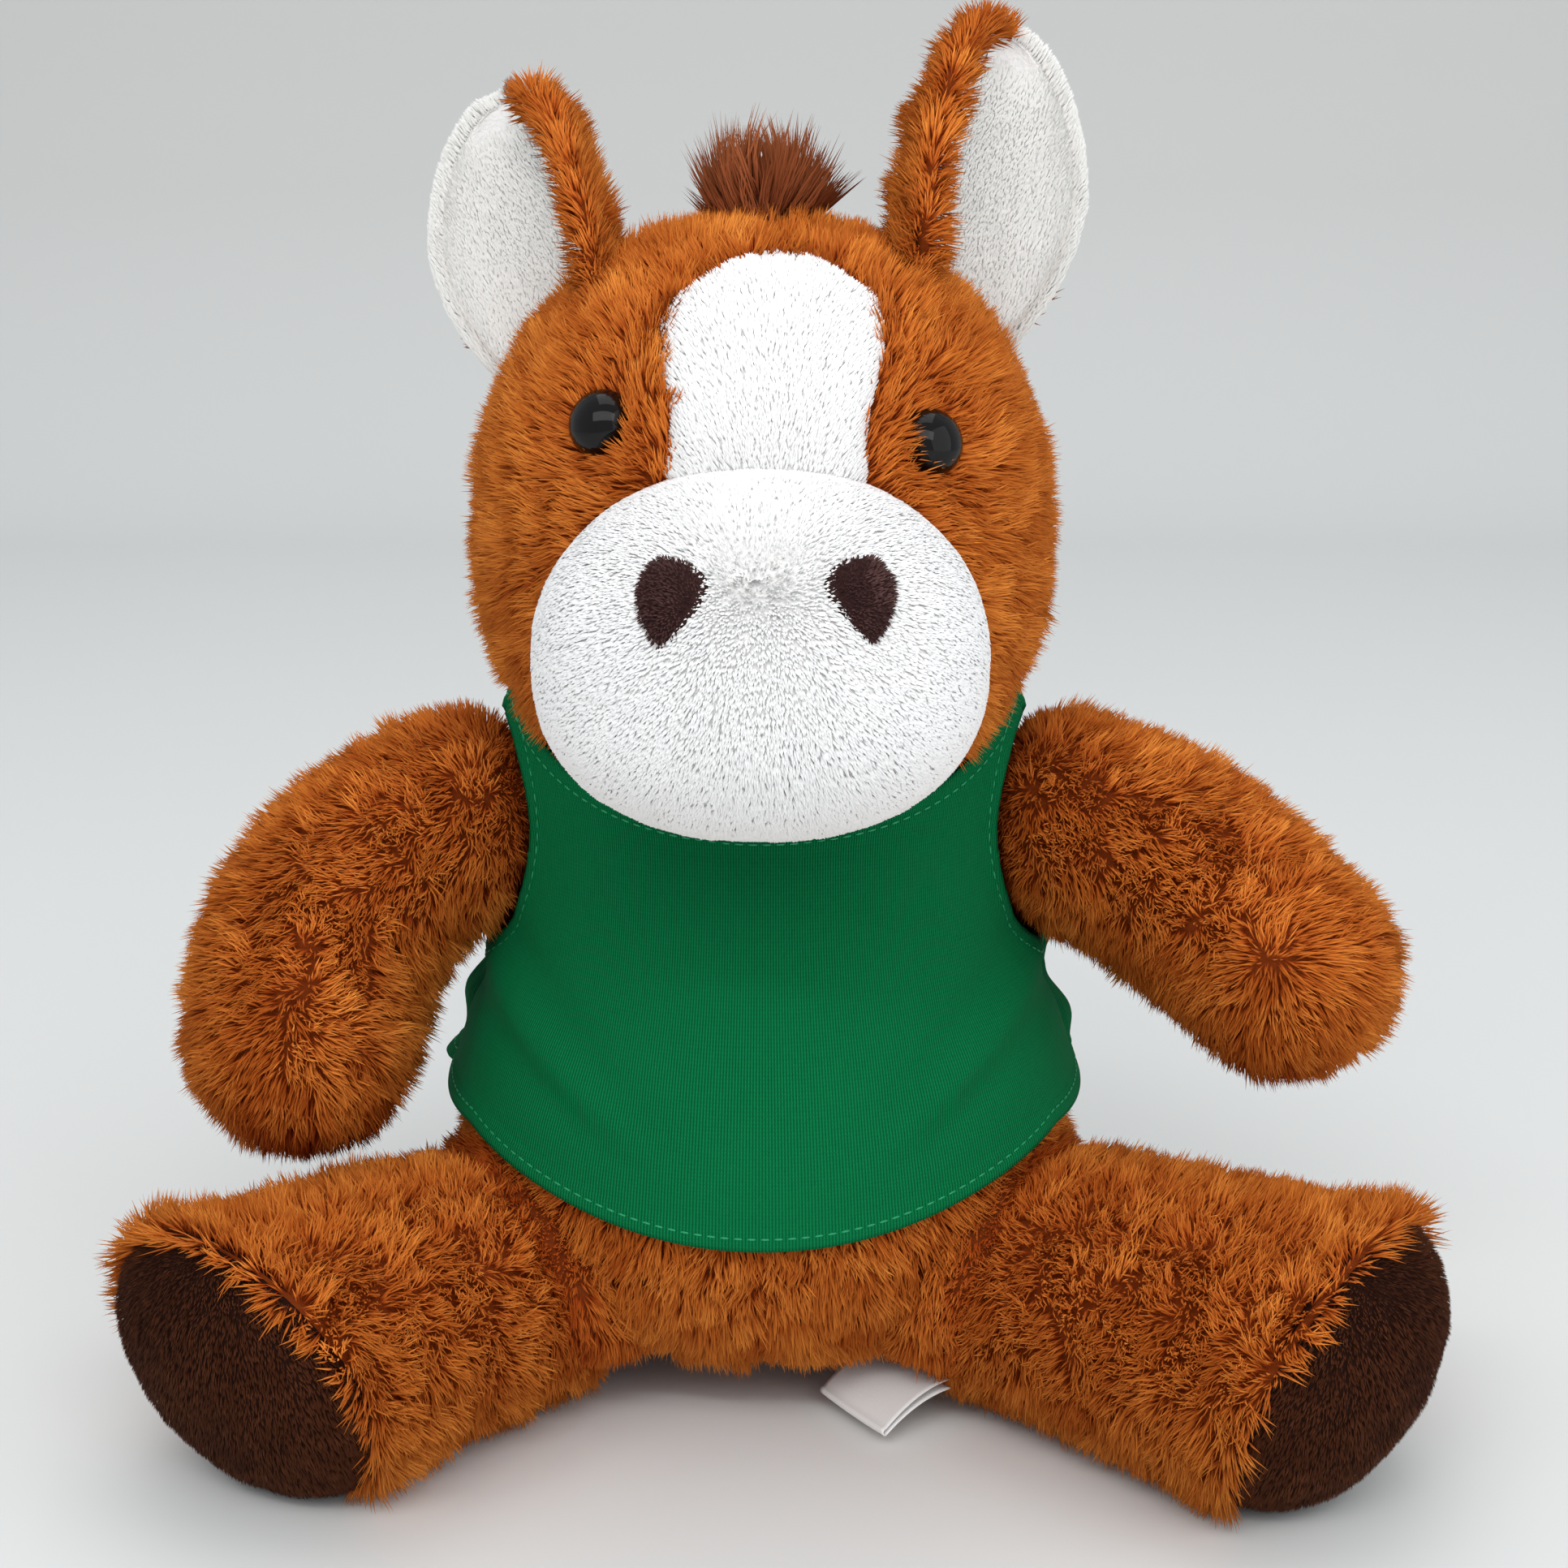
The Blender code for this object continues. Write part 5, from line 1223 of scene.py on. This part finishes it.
# Shares of the tail's reach, drop and radius, from its root to its end
tailTable = ((0.00, 0.00, 0.68), (0.62, 0.02, 0.88), (1.00, 0.55, 1.00), (0.92, 1.00, 0.62))
far, drop, thick = smoothRows(tailTable, np.linspace(0, 3, 24)).T
tailY, tailZ = tailLook["back"] + far * tailLook["reach"], tailLook["height"] - drop * tailLook["drop"]
tailRows = np.stack([0 * far, tailY, tailZ, thick * tailLook["radius"]], 1)
tailForm, tailCentres, tailTangents, _ = limbForm(tailRows)
tailSkin = inflated(tailForm, -tailLook["pileDepth"])
padded("tail_skin", "tail", backDark, tailSkin, 0.5, ("tail",), "dark_plush")
tailPile = pile(
    "tail_pile", "tail", furDark, tailSkin, maneLook | {"length": 9.0, "lean": 1.1, "perSquare": 3.4},
    lambda points, normals: alongTube(points, tailCentres, tailTangents),
    lambda points: torsoLevel(points, 1.0) > 1, None, 61,
)

# Shirt: two knit panels joined at the side seams

shirtLook = {
    "ease": 1.7, "hemFlare": 3.0, "hemFold": 1.0, "wall": 1.0, "wale": 0.50, "hemWidth": 3.0,
    "armhole": 22.2, "collar": 50.8,
}
seamY = -5.0
# Slack that falls from under each arm towards the hem: its height, tilt, start, reach and amount
shirtSlack = ((60, 0.75, 24, 4.5, 0.9), (52, 0.55, 16, 4.0, -0.8), (72, 0.95, 30, 5.0, -0.7))


def shirtPoint(z, phi, lift=0.0):
    # The torso's form eased out: in soft folds towards the hem, pulled in at the side seams
    wide, deep, middle = torsoSection(z)
    x, y = wide * np.sin(phi), -deep * np.cos(phi)
    side = np.sin(phi) ** 2
    fall = np.clip((77.0 - z) / 35.0, 0, 1)
    flare = shirtLook["hemFlare"] * side + shirtLook["hemFold"] * np.cos(6 * phi) * side
    grow = shirtLook["ease"] + lift + fall**2 * flare
    seam = np.arccos(np.clip((middle - seamY) / deep, -1, 1))
    turned = np.mod(phi, 2 * math.pi)
    folded = np.minimum(turned, 2 * math.pi - turned)
    fromSeam = (folded - seam) * wide
    sign = np.sign(np.sin(phi))
    grow = grow - 1.1 * np.exp(-((fromSeam / 1.3) ** 2))
    bulge = 1.5 + 1.3 * np.sin(z * 0.42 + sign) * np.clip((110 - z) / 30, 0, 1)
    grow = grow + bulge * np.exp(-(((fromSeam - 7.0) / 5.0) ** 2)) * np.clip((100 - z) / 12, 0, 1)
    for low, tilt, where, reach, amount in shirtSlack:
        line = z - low - tilt * (np.abs(x) - where)
        grow = grow + amount * np.exp(-((line / reach) ** 2)) * np.clip((np.abs(x) - 12) / 22, 0, 1) * (y < 6)
    scale = np.sqrt((x / wide) ** 2 / wide**2 + (y / deep) ** 2 / deep**2)
    normal = np.stack([x / wide**2 / scale, y / deep**2 / scale, 0 * z], -1)
    return np.stack([x, y + middle, z], -1) + normal * grow[..., None]


def edgeDistance(points):
    # How far points are from the nearest of the hem, the armholes and the neckline
    fromHem = points[:, 2] - hemHeight(points[:, 0])
    arm = np.min([np.linalg.norm(points - shoulders[side], axis=1) for side in sides], 0) - shirtLook["armhole"]
    neck = np.linalg.norm(points - headCentre, axis=1) - shirtLook["collar"]
    return np.minimum(np.minimum(fromHem, arm), neck)


def trimmed(points, quads, normals, centre, radius):
    # Faces inside a ball are dropped, and the edge that is left is drawn onto the ball along the cloth
    inside = np.linalg.norm(points - centre, axis=1) < radius
    gone = inside[quads].sum(1) >= 2
    edge = np.intersect1d(quads[gone], quads[~gone])
    away = points[edge] - centre
    way = unit(tangential(away, normals[edge]))
    along = (away * way).sum(1)
    gap = along**2 - ((away**2).sum(1) - radius**2)
    points[edge] += way * (-along + np.sqrt(np.maximum(gap, 0)))[:, None]
    return points, quads[~gone]


knit = Shade("GreenKnit", Roughness=0.9, Specular_IOR_Level=0.06)
knitU, knitV, _ = knit.split(knit.add("ShaderNodeUVMap", {"uv_map": "Wales"}))
column = (knitU * (1 / shirtLook["wale"])).math("FRACT")
rib = (column * math.pi).math("SINE")
loop = (knitV * (1 / 0.62) + (column - 0.5).math("ABSOLUTE") * 1.4).math("FRACT")
stitch = (loop * math.pi).math("SINE")
place = knit.objectPlace()
fuzz = knit.noise(place, 900.0, 3.0)
cloud = knit.noise(place, 34.0, 3.0)
height = rib * (0.7 + stitch * 0.3) + fuzz * 0.25
# Darker in the grooves between the ribs and the loops, lighter on their crowns, as the bump runs: painted shade
colour = knit.mix(rib * (0.55 + stitch * 0.45), (0.0, 0.038, 0.010), (0.0015, 0.212, 0.068))
colour = knit.mix(cloud * 0.5, colour, (0.0025, 0.180, 0.055))
knit.set("Base Color", knit.mix(fuzz * 0.22, colour, (0.008, 0.25, 0.09)))
knit.bump(height, 0.7, 0.00035)

thread = Shade("HemThread", Roughness=0.55, Specular_IOR_Level=0.4)
twisted = {"Vector": thread.objectPlace(), "Scale": 2400.0}
twist = thread.add("ShaderNodeTexWave", {"bands_direction": "DIAGONAL"}, twisted)
# Bands along the twist, the darker ones painted shade in its grooves
thread.set("Base Color", thread.mix(twist, (0.004, 0.20, 0.075), (0.02, 0.40, 0.17)))

shirtBalls = [(shoulders[side], shirtLook["armhole"]) for side in sides] + [(headCentre, shirtLook["collar"])]
for name, way in (("front", 1), ("back", -1)):
    rows, columns = 120, 150
    v = np.linspace(0, 1, rows)[:, None] + np.zeros((1, columns))
    c = np.linspace(-1, 1, columns)[None] + np.zeros((rows, 1))
    z = 44.0 + v * 90.0
    for _ in range(4):
        wide, deep, middle = torsoSection(z)
        seam = np.arccos(np.clip((middle - seamY) / deep, -1, 1))
        phi = c * (seam - 0.15 / wide) if way > 0 else math.pi + c * (math.pi - seam - 0.15 / wide)
        lowest = hemHeight((wide + 2) * np.sin(phi))
        z = lowest + v**0.97 * (135.0 - lowest)
    points = shirtPoint(z, phi).reshape(-1, 3)
    quads = gridFaces(rows, columns)
    normals = shell(points, triangles(quads))[2]
    outward = points - np.stack([0 * points[:, 0], -7 + 0 * points[:, 0], points[:, 2]], 1)
    if (normals * outward).sum() < 0:
        normals = -normals
    if (faceCross(points, quads) * normals[quads[:, 0]]).sum() < 0:
        quads = quads[:, ::-1]
    for centre, radius in shirtBalls:
        points, quads = trimmed(points, quads, normals, centre, radius)
    # The turned hem is thicker, and drawn in along its stitches
    edge = edgeDistance(points)
    hemmed = 0.45 / (1 + np.exp((edge - shirtLook["hemWidth"] - 0.3) * 6))
    hemmed = hemmed - 0.35 * np.exp(-(((edge - 2.3) / 0.5) ** 2))
    points = points + normals * hemmed[:, None]
    used = np.unique(quads)
    where = np.full(len(points), -1)
    where[used] = np.arange(len(used))
    uvAll = np.stack([(phi * 52.0).reshape(-1), z.reshape(-1)], 1)
    points, normals, quads, uvAll = points[used], normals[used], where[quads], uvAll[used]
    solid = thickened(points, quads, normals, shirtLook["wall"])
    wales = ("Wales", np.concatenate([uvAll, uvAll]))
    piece = addPiece(f"shirt_{name}_cloth", "body", knit.material, *solid, wales)
    corner = points[quads]
    area = np.linalg.norm(np.cross(corner[:, 2] - corner[:, 0], corner[:, 3] - corner[:, 1]), axis=1).sum() / 2
    flat = (round(np.ptp(uvAll[:, 0]) * mm * 1.05, 3), 0.095)
    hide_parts(f"shirt_{name}")
    print(f"Shirt {name}: {area:.0f} square mm")


def onShirt(points, lift):
    # Points moved out onto the cloth at their own height
    wide, deep, middle = torsoSection(points[:, 2])
    phi = np.arctan2(points[:, 0] / wide, (middle - points[:, 1]) / deep)
    return shirtPoint(points[:, 2], phi, lift)


stitchLook = {"lift": 0.22, "dash": 1.6, "width": 0.42}


def stitched(name, path, pitch):
    # Short beads of thread along a path on the cloth
    dash, width = stitchLook["dash"], stitchLook["width"]
    step = np.linalg.norm(np.diff(path, axis=0), axis=1)
    at = np.concatenate([[0], np.cumsum(step)])
    stops = np.arange(pitch / 2, at[-1], pitch)
    middle = np.stack([np.interp(stops, at, path[:, k]) for k in range(3)], 1)
    ahead = np.stack([np.interp(stops + 0.3, at, path[:, k]) for k in range(3)], 1)
    way = unit(ahead - np.stack([np.interp(stops - 0.3, at, path[:, k]) for k in range(3)], 1))
    out = middle - np.array((0.0, -7.0, 0.0))
    out[:, 2] = 0
    out = unit(tangential(unit(out), way))
    over = np.cross(way, out)
    turn = np.arange(6) * math.pi / 3
    ring = np.cos(turn)[:, None] * over[:, None] + 0.6 * np.sin(turn)[:, None] * out[:, None]
    rows = [middle - way * dash / 2]
    for far, share in ((-0.36, 0.7), (0.0, 1.0), (0.36, 0.7)):
        rows.append((middle + way * dash * far)[:, None] + ring * share * width / 2)
    count = len(stops)
    points = np.concatenate([rows[0][:, None], *rows[1:], (middle + way * dash / 2)[:, None]], 1).reshape(-1, 3)
    j, after = np.arange(6), (np.arange(6) + 1) % 6
    one = [np.stack([0 * j, 1 + after, 1 + j], 1), np.stack([19 + 0 * j, 13 + j, 13 + after], 1)]
    for low in (1, 7):
        one.append(np.stack([low + j, low + after, low + 6 + after], 1))
        one.append(np.stack([low + j, low + 6 + after, low + 6 + j], 1))
    one = np.concatenate(one)
    faces = (np.arange(count)[:, None, None] * 20 + one).reshape(-1, 3)
    addPiece(name, "body", thread.material, points, faces)


def ballPath(centre, radius, turn, axisSign):
    # Where a ball about a shoulder or the head meets the shirt, by a root search out from its axis
    low, high = np.full(len(turn), 0.05), np.full(len(turn), math.pi * 0.62)

    def at(beta):
        return centre + radius * np.stack(
            [-axisSign * np.cos(beta), np.sin(beta) * np.cos(turn), np.sin(beta) * np.sin(turn)], 1
        )

    for _ in range(30):
        half = (low + high) / 2
        inside = torsoLevel(at(half), shirtLook["ease"]) < 1
        low, high = np.where(inside, half, low), np.where(inside, high, half)
    return at(low)


hemPhi = np.linspace(-math.pi, math.pi, 900)
hemZ = 44.0 + 0 * hemPhi
for _ in range(4):
    wide, deep, middle = torsoSection(hemZ)
    hemZ = hemHeight((wide + 2) * np.sin(hemPhi)) + 2.2
stitched("hem_stitches", shirtPoint(hemZ, hemPhi, stitchLook["lift"]), 2.25)
for side, sign in sides.items():
    path = ballPath(shoulders[side], shirtLook["armhole"] + 2.6, np.linspace(0, 2 * math.pi, 400), sign)
    stitched(f"armhole_stitches_{side}", onShirt(path, stitchLook["lift"]), 2.3)
neckPhi = np.linspace(-math.pi, math.pi, 700)
low, high = 80.0 + 0 * neckPhi, 130.0 + 0 * neckPhi
for _ in range(24):
    half = (low + high) / 2
    outside = np.linalg.norm(shirtPoint(half, neckPhi) - headCentre, axis=1) > shirtLook["collar"] + 2.4
    low, high = np.where(outside, half, low), np.where(outside, high, half)
stitched("neckline_stitches", shirtPoint(low, neckPhi, stitchLook["lift"]), 2.3)
print("Shirt done")

# Care label: a bare satin loop from the seam beside the horse's left leg

satin = Shade("LabelSatin", Roughness=0.34, Specular_IOR_Level=0.5, Sheen_Weight=0.15)
satinU, satinV, _ = satin.split(satin.add("ShaderNodeUVMap", {"uv_map": "Weave"}))
rowsOf = (satinU * 9.0).math("FRACT")
ends = (satinV * 14.0).math("SINE")
satin.set("Base Color", satin.mix(rowsOf * 0.35, (0.86, 0.86, 0.85), (0.74, 0.74, 0.73)))
satin.bump(rowsOf * 0.6 + ends * 0.2, 0.25, 0.0001)
labelLook = {
    "fold": (16.0, -46.5, 3.0), "turn": 34.0, "width": 19.0, "leaf": 14.0, "rise": (5.5, 5.0), "bend": 0.75,
    "curl": 0.6, "wall": 0.22,
}
labelColumns = 24
turn = math.radians(labelLook["turn"])
labelAcross = np.array((math.sin(turn), -math.cos(turn), 0.0))
labelOut = np.array((-math.cos(turn), -math.sin(turn), 0.0))
leaf, bendRadius, (upperRise, lowerRise) = labelLook["leaf"], labelLook["bend"], labelLook["rise"]
t = np.linspace(0, 1, 22)
upper = np.stack([-(1 - t) * leaf, (1 - t**2) * upperRise + bendRadius], 1)
around = np.linspace(math.pi / 2, -math.pi / 2, 12)[1:-1]
bendOver = np.stack([bendRadius * np.cos(around), bendRadius * np.sin(around)], 1)
lower = np.stack([-t * leaf, (1 - (1 - t) ** 2) * lowerRise - bendRadius], 1)
profile = np.concatenate([upper, bendOver, lower])
s = np.linspace(-0.5, 0.5, labelColumns)
curl = 0.5 * (2 * s) ** 2
labelPoints = (
    np.array(labelLook["fold"])
    + s[None, :, None] * labelLook["width"] * labelAcross
    + profile[:, :1][:, None] * labelOut
    + (profile[:, 1:][:, None] + curl[None, :, None] * labelLook["curl"]) * up
).reshape(-1, 3)
labelQuads = gridFaces(len(profile), labelColumns)
labelNormals = shell(labelPoints, triangles(labelQuads))[2]
if (faceCross(labelPoints, labelQuads) * labelNormals[labelQuads[:, 0]]).sum() < 0:
    labelQuads = labelQuads[:, ::-1]
length = np.concatenate([[0], np.cumsum(np.linalg.norm(np.diff(profile, axis=0), axis=1))])
labelUv = np.stack([np.repeat(length, labelColumns), np.tile(s * labelLook["width"], len(profile))], 1)
labelSolid = thickened(labelPoints, labelQuads, labelNormals, labelLook["wall"])
weave = ("Weave", np.concatenate([labelUv, labelUv]))
label = addPiece("label_cloth", "body", satin.material, *labelSolid, weave)
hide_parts("care_label")
print("Label done")

# Pieces inside: neck filling, pellet bag and the eyes' washers

fill = Shade("Fibre", Roughness=1.0)
clumps = fill.noise(fill.objectPlace(), 300.0, 4.0)
fill.set("Base Color", fill.mix(clumps, (0.66, 0.66, 0.64), (0.86, 0.86, 0.84)))
fill.bump(fill.noise(fill.objectPlace(), 600.0, 4.0), 0.6, 0.001)
turn = np.linspace(0, 2 * math.pi, 40, endpoint=False)
backwards = np.array((0, 1.0, 0))
# A lower power gives a squarer bag in the box of its solid
for name, body, node, power, share, slot in (
    ("neck_wad", "neck", "neck_stuffing", 0.5, 0.9, "fill_fibre"),
    ("pellet_bag_cloth", "body", "pellet_bag", 0.8, 0.8, "pellet_cloth"),
):
    low, high = (np.array(corner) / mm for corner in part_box(node))
    middle, half = (low + high) / 2, (high - low) / 2
    rings = [
        ringAt(middle - up * half[2] * math.cos(a), up, half[0] * math.sin(a) ** power, turn, backwards)
        for a in np.linspace(0.1, math.pi - 0.1, 16)
    ]
    bag = lathe(middle - up * half[2], np.array(rings), middle + up * half[2])
    padded(name, body, fill.material, bag, share, (node,), slot)

plastic = Shade("Washer", Roughness=0.5)
grain = plastic.noise(plastic.objectPlace(), 500.0, 3.0)
plastic.set("Base Color", plastic.mix(grain, (0.72, 0.72, 0.69), (0.80, 0.80, 0.77)))
for side in sides:
    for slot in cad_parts[f"eye_washer_{side}"].material_slots:
        slot.material = plastic.material

# Stage, light and camera

stageShade = Shade("PaleStage", Roughness=0.6)
stagePlace = stageShade.noise(stageShade.objectPlace(), 3.0, 2.0)
_, stageDepth, stageRise = stageShade.split(stageShade.objectPlace())
# Pale on the floor, greyer up the wall and further back: painted shade where less light reaches
stageLitShare = (stageRise * -4.0 - stageDepth * 0.45 + 1.13).math("ADD", 0.0, clamp=True)
stageColour = stageShade.mix(stageLitShare, (0.63, 0.635, 0.62), (0.80, 0.81, 0.80))
stageShade.set("Base Color", stageShade.mix(stagePlace * 0.12, stageColour, (0.6, 0.6, 0.6)))
stageLook = {"half": 1600.0, "floorEnd": 850.0, "bend": 250.0, "tall": 2200.0}
half, floorEnd, bend = stageLook["half"], stageLook["floorEnd"], stageLook["bend"]
profile = [(-half, 0.0), (300.0, 0.0), (floorEnd, 0.0)]
for a in np.linspace(0.1, math.pi / 2, 14):
    profile.append((floorEnd + bend * math.sin(a), bend - bend * math.cos(a)))
profile.append((floorEnd + bend, stageLook["tall"]))
stagePoints = np.array([(x, y, z) for y, z in profile for x in (-half, half)])
stage = addPiece("stage", None, stageShade.material, stagePoints, gridFaces(len(profile), 2))

world = bpy.data.worlds.new("Room")
world.use_nodes = True
sky = world.node_tree.nodes["Background"]
sky.inputs["Color"].default_value = (0.93, 0.96, 1.0, 1.0)
sky.inputs["Strength"].default_value = 0.62
scene.world = world

# Each lamp's place in metres, its width and height, its power and its colour
lamps = {
    "key": ((-0.15, -1.00, 1.00), (1.8, 0.6), 7.1, (1.0, 0.99, 0.97)),
    "streak": ((-0.15, -1.00, 1.00), (0.8, 0.06), 2.4, (1.0, 1.0, 1.0)),
    "fill": ((0.95, -0.70, 0.55), (1.4, 1.4), 4.5, (0.98, 0.99, 1.0)),
    "top": ((0.0, 0.15, 1.25), (0.9, 0.9), 3.0, (1.0, 1.0, 1.0)),
}
for name, (place, size, power, colour) in lamps.items():
    lamp = bpy.data.lights.new(name, "AREA")
    lamp.shape = "RECTANGLE"
    lamp.size, lamp.size_y = size
    lamp.energy, lamp.color = power, colour
    holder = bpy.data.objects.new(name, lamp)
    holder.location = place
    holder.rotation_euler = (Vector((0, 0, 0.10)) - Vector(place)).to_track_quat("-Z", "Y").to_euler()
    scene.collection.objects.link(holder)

target = Vector((0.0036, 0.0, 0.105))
tilt, distance, fieldOfView = math.radians(15.0), 0.5, math.radians(32.0)
camera = bpy.data.cameras.new("Camera")
camera.sensor_fit = "AUTO"
camera.angle = fieldOfView
camera.clip_start = 0.01
view = bpy.data.objects.new("Camera", camera)
view.location = target + Vector((0, -math.cos(tilt) * distance, math.sin(tilt) * distance))
view.rotation_euler = (target - view.location).to_track_quat("-Z", "Y").to_euler()
scene.collection.objects.link(view)
scene.camera = view
scene.view_settings.view_transform = "Standard"
